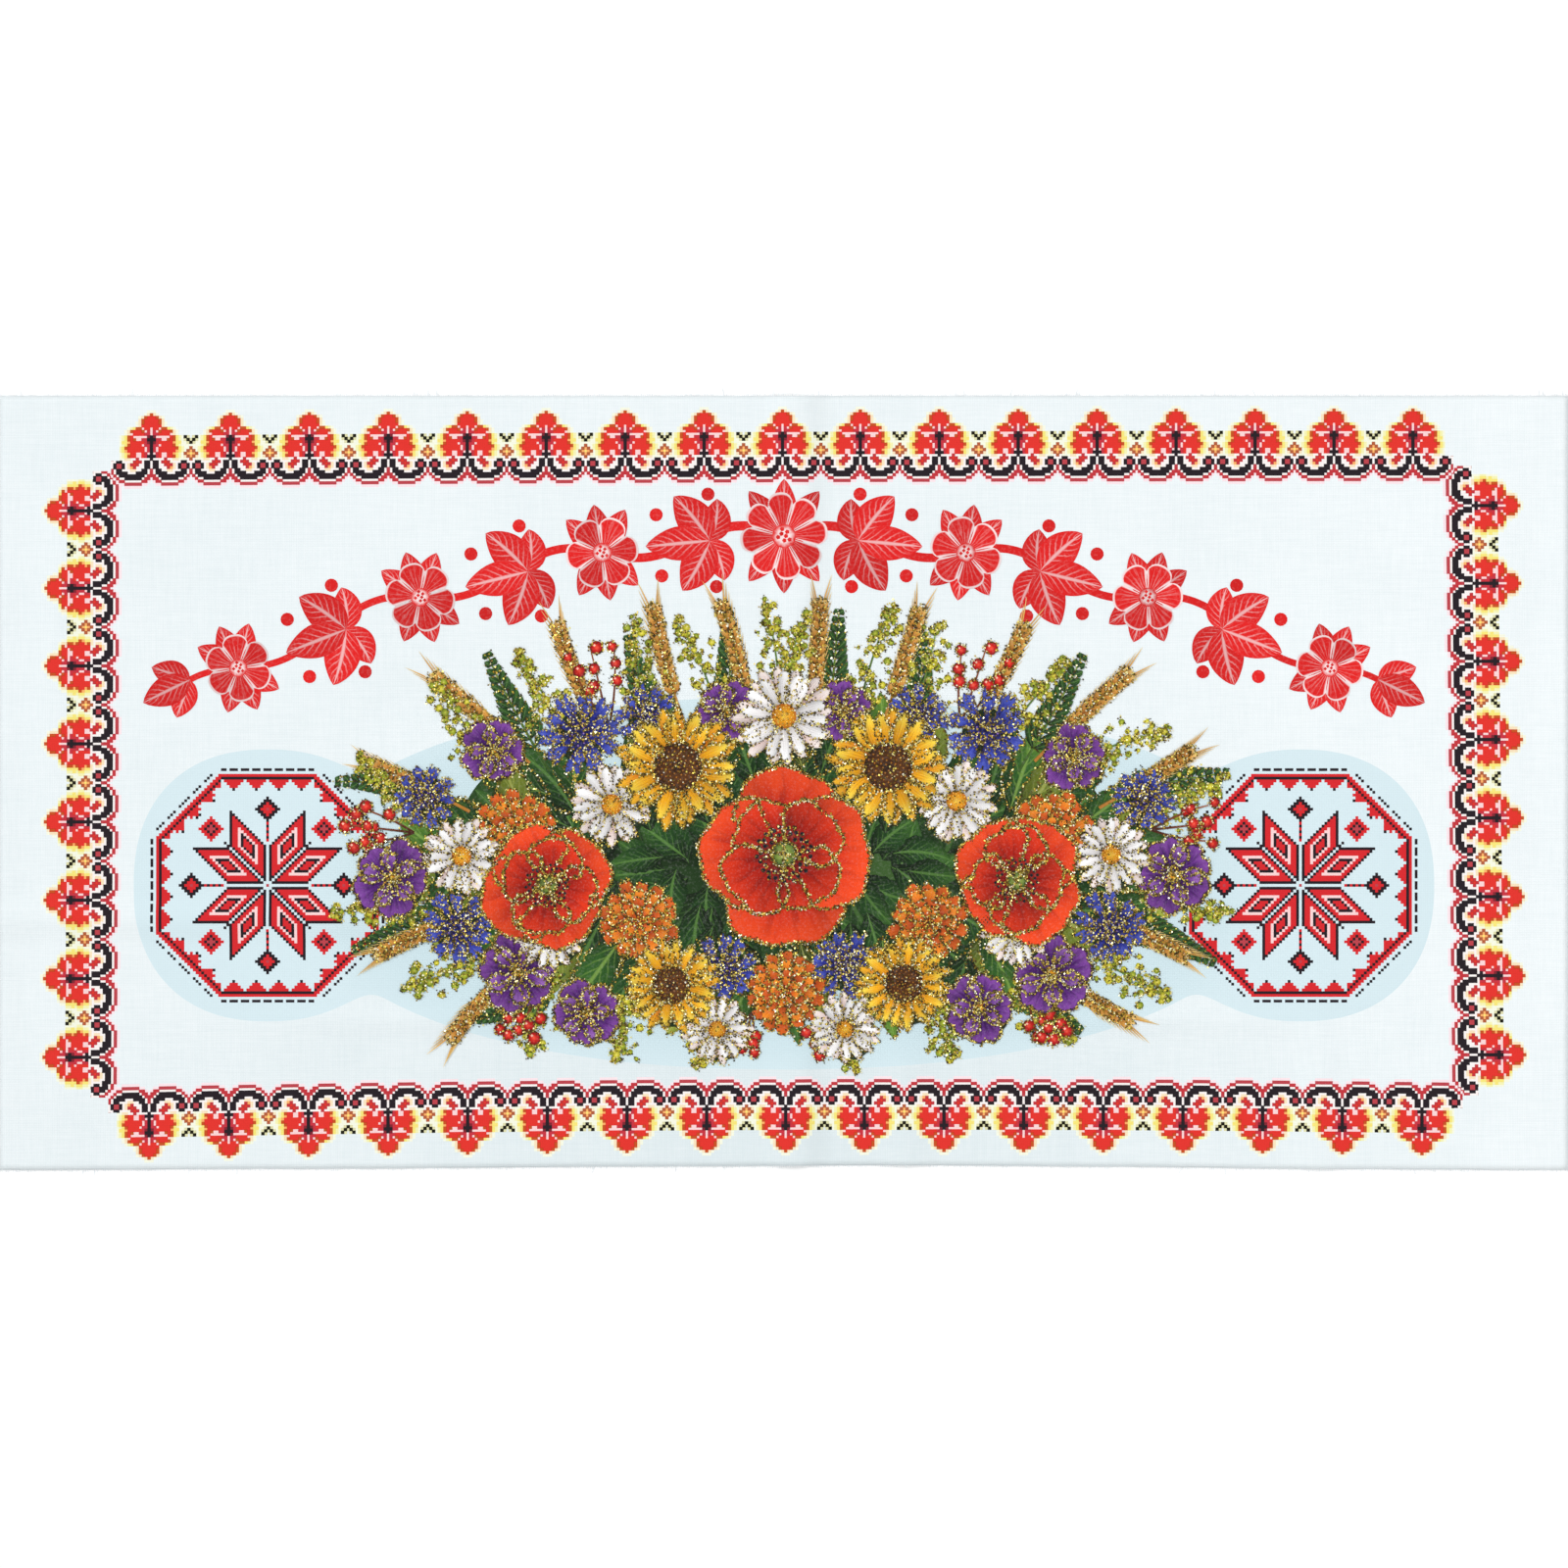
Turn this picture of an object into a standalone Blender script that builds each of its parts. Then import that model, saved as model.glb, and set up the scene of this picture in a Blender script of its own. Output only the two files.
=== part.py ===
"""An easter basket cover: one flat panel of printed cotton, lying face up.

The cloth lies on z = 0 with its long side along X. The origin is the middle of its underside. Most of
the panel touches the surface, and the creases that it was folded along for storing stand up from it as
soft ridges. The long edge nearest the reader, at -Y, was cut by hand and bows in a little.
Every size is in metres.
"""

import math
from typing import NamedTuple

import bmesh
import bpy

# The panel, as cut
CLOTH_LENGTH = 0.750
CLOTH_WIDTH = 0.370
CLOTH_THICKNESS = 0.0012

# The plain parts of the panel are divided this finely, and a ridge has this many steps a side
PLAIN_CELL = 0.030
RIDGE_STEPS = 3

# The printed cotton's own colour, a cool white, and its matt finish
COTTON_COLOUR = (0.863, 0.930, 0.956, 1.0)
COTTON_ROUGHNESS = 0.9

# Lines closer than this to a line of the grid are left to it
SAME_LINE = 0.0008


class Fold(NamedTuple):
    """One crease: a soft ridge that runs up the cloth, along Y, or across it, along X."""

    runs: str  # "up" or "across"
    at: float  # where its crest lies, from the middle of the cloth
    reach: float  # from the crest to either foot
    rise: float  # how high the crest stands
    begins: float  # where it is at full height along its run
    ends: float  # where it stops being at full height
    fade: float  # how far it then takes to die out


# The folds, strongest first
FOLDS = (
    Fold(runs="up", at=0.0030, reach=0.014, rise=0.0015, begins=-0.200, ends=0.200, fade=0.020),
    Fold(runs="across", at=-0.0655, reach=0.012, rise=0.0011, begins=-0.400, ends=0.110, fade=0.120),
    Fold(runs="across", at=-0.1135, reach=0.010, rise=0.0008, begins=-0.160, ends=0.170, fade=0.120),
    Fold(runs="up", at=0.0580, reach=0.016, rise=0.0009, begins=-0.200, ends=-0.060, fade=0.110),
    Fold(runs="up", at=0.2560, reach=0.014, rise=0.0007, begins=-0.200, ends=-0.150, fade=0.080),
    Fold(runs="up", at=-0.3480, reach=0.016, rise=0.0006, begins=-0.110, ends=0.090, fade=0.070),
    Fold(runs="up", at=0.3450, reach=0.016, rise=0.0006, begins=-0.080, ends=0.120, fade=0.060),
)


class Bow(NamedTuple):
    """One point of the hand-cut edge: how far in from the straight line it lies."""

    along: float
    inset: float


CUT_EDGE = (
    Bow(along=-0.375, inset=0.0000),
    Bow(along=-0.234, inset=0.0006),
    Bow(along=-0.060, inset=0.0017),
    Bow(along=0.056, inset=0.0023),
    Bow(along=0.160, inset=0.0016),
    Bow(along=0.256, inset=0.0005),
    Bow(along=0.375, inset=0.0000),
)


def remove_all_objects():
    """Empties the file of its objects."""
    for old in list(bpy.data.objects):
        bpy.data.objects.remove(old, do_unlink=True)


def eased(share):
    """Turns 0 to 1 into a soft start and a soft stop."""
    share = min(max(share, 0.0), 1.0)
    return share * share * (3.0 - 2.0 * share)


def fold_height(fold, x, y):
    """How high one fold lifts the cloth at a point."""
    across, along = (x, y) if fold.runs == "up" else (y, x)
    offset = abs(across - fold.at)
    if offset >= fold.reach:
        return 0.0
    section = 0.5 * (1.0 + math.cos(math.pi * offset / fold.reach))
    past_end = max(fold.begins - along, along - fold.ends, 0.0)
    return fold.rise * section * eased(1.0 - past_end / fold.fade)


def cloth_height(x, y):
    """How high the underside lies at a point. Where two folds cross, they add as a soft peak."""
    return math.sqrt(sum(fold_height(fold, x, y) ** 2 for fold in FOLDS))


def edge_inset(x):
    """How far the hand-cut edge lies in from the straight line at x."""
    for here, after in zip(CUT_EDGE, CUT_EDGE[1:]):
        if x <= after.along:
            share = eased((x - here.along) / (after.along - here.along))
            return here.inset + share * (after.inset - here.inset)
    return CUT_EDGE[-1].inset


def fold_lines(runs, half_size):
    """The lines that a direction's folds need on the sheet: each crest, its feet and steps between."""
    lines = []
    for fold in FOLDS:
        if fold.runs != runs:
            continue
        for step in range(-RIDGE_STEPS, RIDGE_STEPS + 1):
            line = fold.at + fold.reach * step / RIDGE_STEPS
            if abs(line) < half_size - SAME_LINE:
                lines.append(line)
    return lines


def cut_line(sheet, axis, at):
    """Adds one straight line of points right across the sheet, unless one is there already."""
    if any(abs(vert.co[axis] - at) < SAME_LINE for vert in sheet.verts):
        return
    point = [0.0, 0.0, 0.0]
    normal = [0.0, 0.0, 0.0]
    point[axis] = at
    normal[axis] = 1.0
    everything = sheet.verts[:] + sheet.edges[:] + sheet.faces[:]
    bmesh.ops.bisect_plane(sheet, geom=everything, plane_co=point, plane_no=normal)


def flat_sheet():
    """A flat rectangle, divided evenly and then along each fold."""
    sheet = bmesh.new()
    cells_long = round(CLOTH_LENGTH / PLAIN_CELL)
    cells_wide = round(CLOTH_WIDTH / PLAIN_CELL)
    bmesh.ops.create_grid(sheet, x_segments=cells_long, y_segments=cells_wide, size=0.5)
    bmesh.ops.scale(sheet, vec=(CLOTH_LENGTH, CLOTH_WIDTH, 1.0), verts=sheet.verts[:])
    for line in fold_lines("up", CLOTH_LENGTH / 2):
        cut_line(sheet, 0, line)
    for line in fold_lines("across", CLOTH_WIDTH / 2):
        cut_line(sheet, 1, line)
    return sheet


def bow_the_cut_edge(sheet):
    """Draws the -Y edge in along its bow, and eases the cloth behind it so that no cell folds over."""
    for vert in sheet.verts:
        share = 0.5 - vert.co.y / CLOTH_WIDTH
        vert.co.y += edge_inset(vert.co.x) * eased(2.0 * share - 1.0)


def raise_the_folds(sheet):
    """Lifts each point of the sheet to the height of the folds there."""
    for vert in sheet.verts:
        vert.co.z = cloth_height(vert.co.x, vert.co.y)


def cotton_material():
    """Matt white cotton."""
    material = bpy.data.materials.new("white_cotton")
    material.use_nodes = True
    shader = material.node_tree.nodes["Principled BSDF"]
    shader.inputs["Base Color"].default_value = COTTON_COLOUR
    shader.inputs["Roughness"].default_value = COTTON_ROUGHNESS
    shader.inputs["Metallic"].default_value = 0.0
    return material


def printed_cloth(collection):
    """The whole panel: its underside is the folded sheet, and its thickness goes up from that."""
    sheet = flat_sheet()
    bow_the_cut_edge(sheet)
    raise_the_folds(sheet)
    bmesh.ops.recalc_face_normals(sheet, faces=sheet.faces[:])
    if sum(face.normal.z for face in sheet.faces) < 0.0:
        bmesh.ops.reverse_faces(sheet, faces=sheet.faces[:])
    mesh = bpy.data.meshes.new("printed_cloth")
    sheet.to_mesh(mesh)
    sheet.free()
    cloth = bpy.data.objects.new("printed_cloth", mesh)
    collection.objects.link(cloth)
    cloth.data.materials.append(cotton_material())
    thickness = cloth.modifiers.new("thickness", "SOLIDIFY")
    thickness.thickness = CLOTH_THICKNESS
    thickness.offset = 1.0
    return cloth


def main():
    """Builds the basket cover in a collection of its own."""
    remove_all_objects()
    collection = bpy.data.collections.new("easter_basket_cover")
    bpy.context.scene.collection.children.link(collection)
    printed_cloth(collection)


main()
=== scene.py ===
"""Dresses the easter basket cover: a white cotton panel, printed on one side and touched with glitter.

The panel lies face up on z = 0 with its long side along X. A cross-stitch border is charted stitch by
stitch. Inside it runs a red garland, and below that lies a spray of garden and field flowers on a pale
blue ground with two stitched stars. Gold glitter follows the outlines of the flowers and leaves.
Lengths are in metres. A name that ends in _mm is in millimetres, and so is all that the printed shapes
are laid out by.
"""

import functools
import logging
import math
from dataclasses import dataclass, field
from enum import Enum
from typing import ClassVar, Iterable, NamedTuple, Sequence

import bmesh
import bpy
import numpy as np
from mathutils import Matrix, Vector


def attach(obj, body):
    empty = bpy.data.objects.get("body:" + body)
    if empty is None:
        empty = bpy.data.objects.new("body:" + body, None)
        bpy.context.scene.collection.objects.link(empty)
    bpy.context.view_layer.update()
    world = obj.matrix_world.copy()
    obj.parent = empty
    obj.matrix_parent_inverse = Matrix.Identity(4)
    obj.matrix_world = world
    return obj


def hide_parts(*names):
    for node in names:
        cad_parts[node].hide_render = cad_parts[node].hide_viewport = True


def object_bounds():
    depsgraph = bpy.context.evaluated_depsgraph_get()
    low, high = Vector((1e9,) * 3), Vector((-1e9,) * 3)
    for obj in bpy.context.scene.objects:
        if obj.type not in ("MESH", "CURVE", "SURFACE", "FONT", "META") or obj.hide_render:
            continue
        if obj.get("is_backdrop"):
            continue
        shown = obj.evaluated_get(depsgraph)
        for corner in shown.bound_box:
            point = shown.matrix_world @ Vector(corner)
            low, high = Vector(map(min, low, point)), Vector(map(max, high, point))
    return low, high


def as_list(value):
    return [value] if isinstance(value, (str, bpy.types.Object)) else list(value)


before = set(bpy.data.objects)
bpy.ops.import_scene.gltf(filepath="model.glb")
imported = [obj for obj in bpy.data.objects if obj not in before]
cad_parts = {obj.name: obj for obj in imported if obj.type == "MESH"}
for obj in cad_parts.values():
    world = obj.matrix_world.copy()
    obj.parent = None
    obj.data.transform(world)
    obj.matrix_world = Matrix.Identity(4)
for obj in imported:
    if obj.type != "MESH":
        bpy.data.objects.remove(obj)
CAD_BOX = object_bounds()

LOG = logging.getLogger("basket_cover")
NODE = "printed_cloth"
BODY = "root"
MM = 0.001

Numbers = np.ndarray
Socket = bpy.types.NodeSocket
Feed = Socket | float | tuple[float, ...]


def linear(hex_colour: str) -> tuple[float, float, float, float]:
    """Turns an sRGB hex colour into the linear one that shaders use.

    Args:
        hex_colour: Six hex digits after a hash sign.

    Returns:
        Red, green, blue and an alpha of 1.
    """
    shares = [int(hex_colour[at : at + 2], 16) / 255 for at in (1, 3, 5)]
    lit = [share / 12.92 if share <= 0.04045 else ((share + 0.055) / 1.055) ** 2.4 for share in shares]
    return (*lit, 1.0)


def eased(share: Numbers | float) -> Numbers:
    """Turns 0 to 1 into a soft start and a soft stop."""
    share = np.clip(share, 0.0, 1.0)
    return share * share * (3.0 - 2.0 * share)


# The cloth's shape


class Run(Enum):
    """Which way a crease runs over the cloth."""

    UP = "along Y"
    ACROSS = "along X"


class Fold(NamedTuple):
    """One pressed crease, a soft ridge."""

    run: Run
    at: float  # where its crest lies, from the middle of the cloth
    reach: float  # from the crest to either foot
    rise: float  # how high the crest stands
    begins: float  # where it is at full height along its run
    ends: float  # where it stops being at full height
    fade: float  # how far it then takes to die out
    lean: float = 0.0  # how far its pressed line lies off the crest
    pressed: float = 0.5  # how high that line stands, against the crest


FOLDS = (
    Fold(
        Run.UP, at=0.0030, reach=0.014, rise=0.0015, begins=-0.200, ends=0.200, fade=0.020,
        lean=0.007, pressed=1.3,
    ),
    Fold(Run.ACROSS, at=-0.0655, reach=0.012, rise=0.0011, begins=-0.400, ends=0.110, fade=0.120),
    Fold(Run.ACROSS, at=-0.1135, reach=0.010, rise=0.0008, begins=-0.160, ends=0.170, fade=0.120),
    Fold(Run.UP, at=0.0580, reach=0.016, rise=0.0009, begins=-0.200, ends=-0.060, fade=0.110),
    Fold(Run.UP, at=0.2560, reach=0.014, rise=0.0007, begins=-0.200, ends=-0.150, fade=0.080),
    Fold(Run.UP, at=-0.3480, reach=0.016, rise=0.0006, begins=-0.110, ends=0.090, fade=0.070),
    Fold(Run.UP, at=0.3450, reach=0.016, rise=0.0006, begins=-0.080, ends=0.120, fade=0.060),
)


class Bow(NamedTuple):
    """One point of the hand-cut lower edge: how far in from the straight line it lies."""

    along: float
    inset: float


CUT_EDGE = (
    Bow(-0.375, 0.0000),
    Bow(-0.234, 0.0006),
    Bow(-0.060, 0.0017),
    Bow(0.056, 0.0023),
    Bow(0.160, 0.0016),
    Bow(0.256, 0.0005),
    Bow(0.375, 0.0000),
)


@dataclass(frozen=True)
class LaidCloth:
    """The shape the cloth lies in, which everything on it follows."""

    length: float
    width: float
    thickness: float = 0.0005
    clear_of_table: float = 0.00005
    ripple: float = 0.00012  # the cut edges lie this much uneven
    ripple_reach: float = 0.012
    ripple_pitch: float = 0.041

    def underside(self, x: Numbers, y: Numbers) -> Numbers:
        """Gives the height of the cloth's underside.

        Args:
            x: Places along the cloth.
            y: Places up the cloth.

        Returns:
            The height at each place.
        """
        total = np.zeros(np.broadcast(x, y).shape)
        for fold in FOLDS:
            across, along = (x, y) if fold.run is Run.UP else (y, x)
            offset = np.minimum(np.abs(across - fold.at) / fold.reach, 1.0)
            section = 0.5 * (1.0 + np.cos(np.pi * offset))
            past_end = np.maximum(np.maximum(fold.begins - along, along - fold.ends), 0.0)
            total += (fold.rise * section * eased(1.0 - past_end / fold.fade)) ** 2
        return self.clear_of_table + np.sqrt(total) + self.edge_ripple(x, y)

    def edge_ripple(self, x: Numbers, y: Numbers) -> Numbers:
        """Gives the small waves that a raw cut edge lies in, as a height at each place.

        Args:
            x: Places, in metres.
            y: The same.

        Returns:
            The height at each, in metres.
        """
        from_edge = np.minimum(self.length / 2 - np.abs(x), self.width / 2 - np.abs(y))
        wave = 1.0 + np.sin(2 * np.pi * (x + 0.7 * y) / self.ripple_pitch)
        return self.ripple * wave * eased(1.0 - from_edge / self.ripple_reach)

    def face(self, x: Numbers, y: Numbers) -> Numbers:
        """Gives the height of the printed face at each place."""
        return self.underside(x, y) + self.thickness

    def edge_inset(self, x: Numbers) -> Numbers:
        """Gives how far the hand-cut lower edge lies in from the straight line at each x.

        Args:
            x: Places along the edge, in metres.

        Returns:
            How far in it lies at each, in metres.
        """
        inset = np.zeros(np.shape(x))
        for here, after in zip(CUT_EDGE, CUT_EDGE[1:]):
            share = (x - here.along) / (after.along - here.along)
            there = here.inset + eased(share) * (after.inset - here.inset)
            inset = np.where((share >= 0.0) & (share <= 1.0), there, inset)
        return inset


# Meshes from arrays


@dataclass(frozen=True)
class Template:
    """A small mesh whose points and faces are repeated many times."""

    points: Numbers
    faces: Numbers

    @classmethod
    def of(cls, shape: bmesh.types.BMesh) -> "Template":
        """Takes the points and faces of a bmesh and frees it.

        Args:
            shape: The bmesh.

        Returns:
            The template.
        """
        shape.verts.index_update()
        points = np.array([vert.co[:] for vert in shape.verts])
        faces = np.array([[vert.index for vert in face.verts] for face in shape.faces])
        shape.free()
        return cls(points, faces)

    @classmethod
    @functools.cache
    def grid(cls, along: int, across: int) -> "Template":
        """Makes a grid of quads from 0 to 1 along X and from -1 to 1 along Y.

        Args:
            along: Quads along X.
            across: Quads along Y.

        Returns:
            The template.
        """
        shape = bmesh.new()
        bmesh.ops.create_grid(shape, x_segments=along, y_segments=across, size=1.0)
        for vert in shape.verts:
            vert.co.x = 0.5 * (vert.co.x + 1.0)
        return cls.of(shape)

    @classmethod
    def flake(cls) -> "Template":
        """Makes one flat four-sided flake of radius 1.

        Returns:
            The template.
        """
        shape = bmesh.new()
        bmesh.ops.create_circle(shape, cap_ends=True, segments=4, radius=1.0)
        return cls.of(shape)

    @classmethod
    def thread(cls) -> "Template":
        """Makes a closed, tapered, four-sided end of thread of radius 1, from z = 0 to z = 1.

        Returns:
            The template.
        """
        shape = bmesh.new()
        bmesh.ops.create_cone(shape, cap_ends=True, segments=4, radius1=1.0, radius2=0.45, depth=1.0)
        bmesh.ops.translate(shape, vec=(0.0, 0.0, 0.5), verts=shape.verts[:])
        bmesh.ops.triangulate(shape, faces=shape.faces[:])
        return cls.of(shape)


def joined_mesh(name: str, points: Numbers, faces: Numbers) -> bpy.types.Mesh:
    """Makes one mesh from arrays.

    Args:
        name: The mesh's name.
        points: One row for each point.
        faces: One row of point numbers for each face.

    Returns:
        The mesh.
    """
    mesh = bpy.data.meshes.new(name)
    mesh.from_pydata(points.tolist(), [], faces.tolist())
    mesh.update()
    return mesh


def repeated(template: Template, places: Numbers, axes: Numbers) -> tuple[Numbers, Numbers]:
    """Repeats a template.

    Args:
        template: What is repeated.
        places: Where each copy's middle goes, one row for each.
        axes: For each copy, three rows: what its X, Y and Z become, with their sizes.

    Returns:
        All the copies' points and faces.
    """
    points = places[:, None, :] + np.einsum("pk,nkj->npj", template.points, axes)
    starts = np.arange(len(places)) * len(template.points)
    faces = template.faces[None, :, :] + starts[:, None, None]
    return points.reshape(-1, 3), faces.reshape(-1, template.faces.shape[1])


def placed(name: str, data: bpy.types.ID) -> bpy.types.Object:
    """Makes an object of a mesh, a light or a camera and puts it in the scene.

    Args:
        name: What it is called.
        data: The mesh, light or camera.

    Returns:
        The object.
    """
    made = bpy.data.objects.new(name, data)
    bpy.context.scene.collection.objects.link(made)
    return made


def on_cloth(name: str, mesh: bpy.types.Mesh, material: bpy.types.Material) -> bpy.types.Object:
    """Makes a piece of a mesh, gives it its finish and lets it ride with the cloth.

    Args:
        name: The piece's name.
        mesh: Its shape.
        material: Its finish.

    Returns:
        The piece's object.
    """
    piece = placed(name, mesh)
    mesh.materials.append(material)
    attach(piece, BODY)
    LOG.info("%s: %d points, %d faces", name, len(mesh.vertices), len(mesh.polygons))
    return piece


# Nodes

SMOOTH = {"interpolation_type": "SMOOTHSTEP"}  # for a Map Range that starts and stops softly


@dataclass(frozen=True)
class Graph:
    """The nodes of a material or of a group, to which more are added."""

    tree: bpy.types.NodeTree

    def add(
        self, kind: str, feeds: Iterable[Feed | None] = (), out: int = 0, **settings: object
    ) -> Socket:
        """Adds a node with its settings, its input values and its links.

        Args:
            kind: The node's type, less its first word, ShaderNode.
            feeds: What goes into its inputs, in order. None leaves an input alone.
            out: Which output is wanted.
            **settings: The node's own properties.

        Returns:
            The output that is wanted.
        """
        node = self.tree.nodes.new("ShaderNode" + kind)
        for name, value in settings.items():
            setattr(node, name, value)
        self.feed([socket for socket in node.inputs if socket.enabled], feeds)
        return [socket for socket in node.outputs if socket.enabled][out]

    def feed(self, sockets: Iterable[Socket], feeds: Iterable[Feed | None]) -> None:
        """Links inputs to outputs or sets their values. None leaves an input alone.

        Args:
            sockets: The inputs, in order.
            feeds: What each takes.
        """
        for socket, value in zip(sockets, feeds):
            if isinstance(value, Socket):
                self.tree.links.new(value, socket)
            elif value is not None:
                socket.default_value = value

    def shade(self, feeds: dict[str, Feed]) -> None:
        """Feeds the sockets of the material's Principled shader, by their names."""
        inputs = self.tree.nodes["Principled BSDF"].inputs
        self.feed([inputs[name] for name in feeds], feeds.values())


def new_material(name: str) -> tuple[bpy.types.Material, Graph]:
    """Makes a material with only a Principled shader.

    Args:
        name: What it is called.

    Returns:
        The material and its graph.
    """
    material = bpy.data.materials.new(name)
    material.use_nodes = True
    return material, Graph(material.node_tree)


def new_group(
    name: str, takes: Sequence[str], gives: dict[str, str]
) -> tuple[Graph, list[Socket], list[Socket]]:
    """Makes a node group.

    Args:
        name: The group's name.
        takes: The names of the numbers that it takes.
        gives: The names of what it gives, each with its type of socket.

    Returns:
        Its graph, the sockets that bring in what it takes, and those that take out what it gives.
    """
    tree = bpy.data.node_groups.new(name, "ShaderNodeTree")
    for title in takes:
        tree.interface.new_socket(title, in_out="INPUT", socket_type="NodeSocketFloat")
    for title, kind in gives.items():
        tree.interface.new_socket(title, in_out="OUTPUT", socket_type=kind)
    entry, leave = [tree.nodes.new(kind) for kind in ("NodeGroupInput", "NodeGroupOutput")]
    return Graph(tree), entry.outputs[: len(takes)], leave.inputs[: len(gives)]


@dataclass(frozen=True)
class Weave:
    """The plain weave of the cotton, which shows in the cloth and through the ink on it.

    The real threads lie about 0.4 mm apart. They are drawn 1.1 mm apart, so that they show at all.
    """

    thread_mm: float = 1.1
    slub_long_mm: float = 14.0
    slub_wide_mm: float = 0.8
    slub_height: float = 1.4  # how high a slub stands, against a thread
    relief_mm: float = 0.06

    def draw(self, graph: Graph) -> tuple[Socket, Socket]:
        """Draws the weave.

        Args:
            graph: The material's graph.

        Returns:
            How high the threads stand, and how light each is, both about 0 to 1.
        """
        place = graph.add("TexCoord", out=3)
        thread = self.thread_mm * MM
        ribs = []
        for across in graph.add("SeparateXYZ", [place]).node.outputs[:2]:
            turn = graph.add("Math", [across, math.pi / thread], operation="MULTIPLY")
            wave = graph.add("Math", [turn], operation="SINE")
            ribs.append(graph.add("Math", [wave], operation="ABSOLUTE"))
        crossings = (1.0 / thread, 1.0 / thread, 0.0)
        flat = graph.add("Mapping", [place, (0.0, 0.0, 0.5), None, crossings])
        over = graph.add("TexChecker", [flat, None, None, 1.0], out=1)
        height = graph.add("Mix", [over, ribs[0], ribs[1]])
        slubs = []
        for long_way in (0, 1):
            grain = [1.0 / (self.slub_wide_mm * MM)] * 3
            grain[long_way] = 1.0 / (self.slub_long_mm * MM)
            stretched = graph.add("Mapping", [place, None, None, tuple(grain)])
            slubs.append(graph.add("TexNoise", [stretched, 1.0, 2.0, 0.5]))
        tone = graph.add("Math", slubs, operation="ADD")
        tone = graph.add("Math", [tone, 0.5], operation="MULTIPLY")
        return height, tone

    def relief(self, graph: Graph, height: Socket, tone: Socket) -> Socket:
        """Turns the weave's height, its slubs and the pressed creases into a normal.

        Args:
            graph: The material's nodes.
            height: The weave's height.
            tone: How light each thread is.

        Returns:
            The normal.
        """
        creases = graph.add("Group", node_tree=pressed_creases(1.0 / self.relief_mm / MM))
        stands = graph.add("Math", [tone, self.slub_height, height], operation="MULTIPLY_ADD")
        stands = graph.add("Math", [stands, creases], operation="ADD")
        return graph.add("Bump", [1.0, self.relief_mm * MM, None, stands])


@functools.cache
def pressed_creases(scale: float) -> bpy.types.NodeTree:
    """Builds the sharper lines that pressing left along the creases, as a node group.

    Args:
        scale: What their height in metres is multiplied by.

    Returns:
        A group that gives their height at each place.
    """
    graph, _, leave = new_group("pressed_creases", (), {"Height": "NodeSocketFloat"})
    place = graph.add("TexCoord", out=3)
    x, y, _ = graph.add("SeparateXYZ", [place]).node.outputs
    total = None
    for fold in FOLDS:
        across, along = (x, y) if fold.run is Run.UP else (y, x)
        crest = fold.at + fold.lean
        sides = [
            graph.add("MapRange", [across, foot, crest], **SMOOTH)
            for foot in (fold.at - fold.reach, crest + fold.reach)
        ]
        height = graph.add("Math", sides, operation="MULTIPLY")
        middle, half = (fold.begins + fold.ends) / 2, (fold.ends - fold.begins) / 2
        off = graph.add("Math", [along, middle], operation="SUBTRACT")
        off = graph.add("Math", [off], operation="ABSOLUTE")
        dying = [off, half, half + fold.fade, fold.rise * fold.pressed * scale, 0.0]
        lasts = graph.add("MapRange", dying, **SMOOTH)
        total = graph.add("Math", [height, lasts, total or 0.0], operation="MULTIPLY_ADD")
    graph.feed(leave, [total])
    return graph.tree


# Cross-stitch charts


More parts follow.
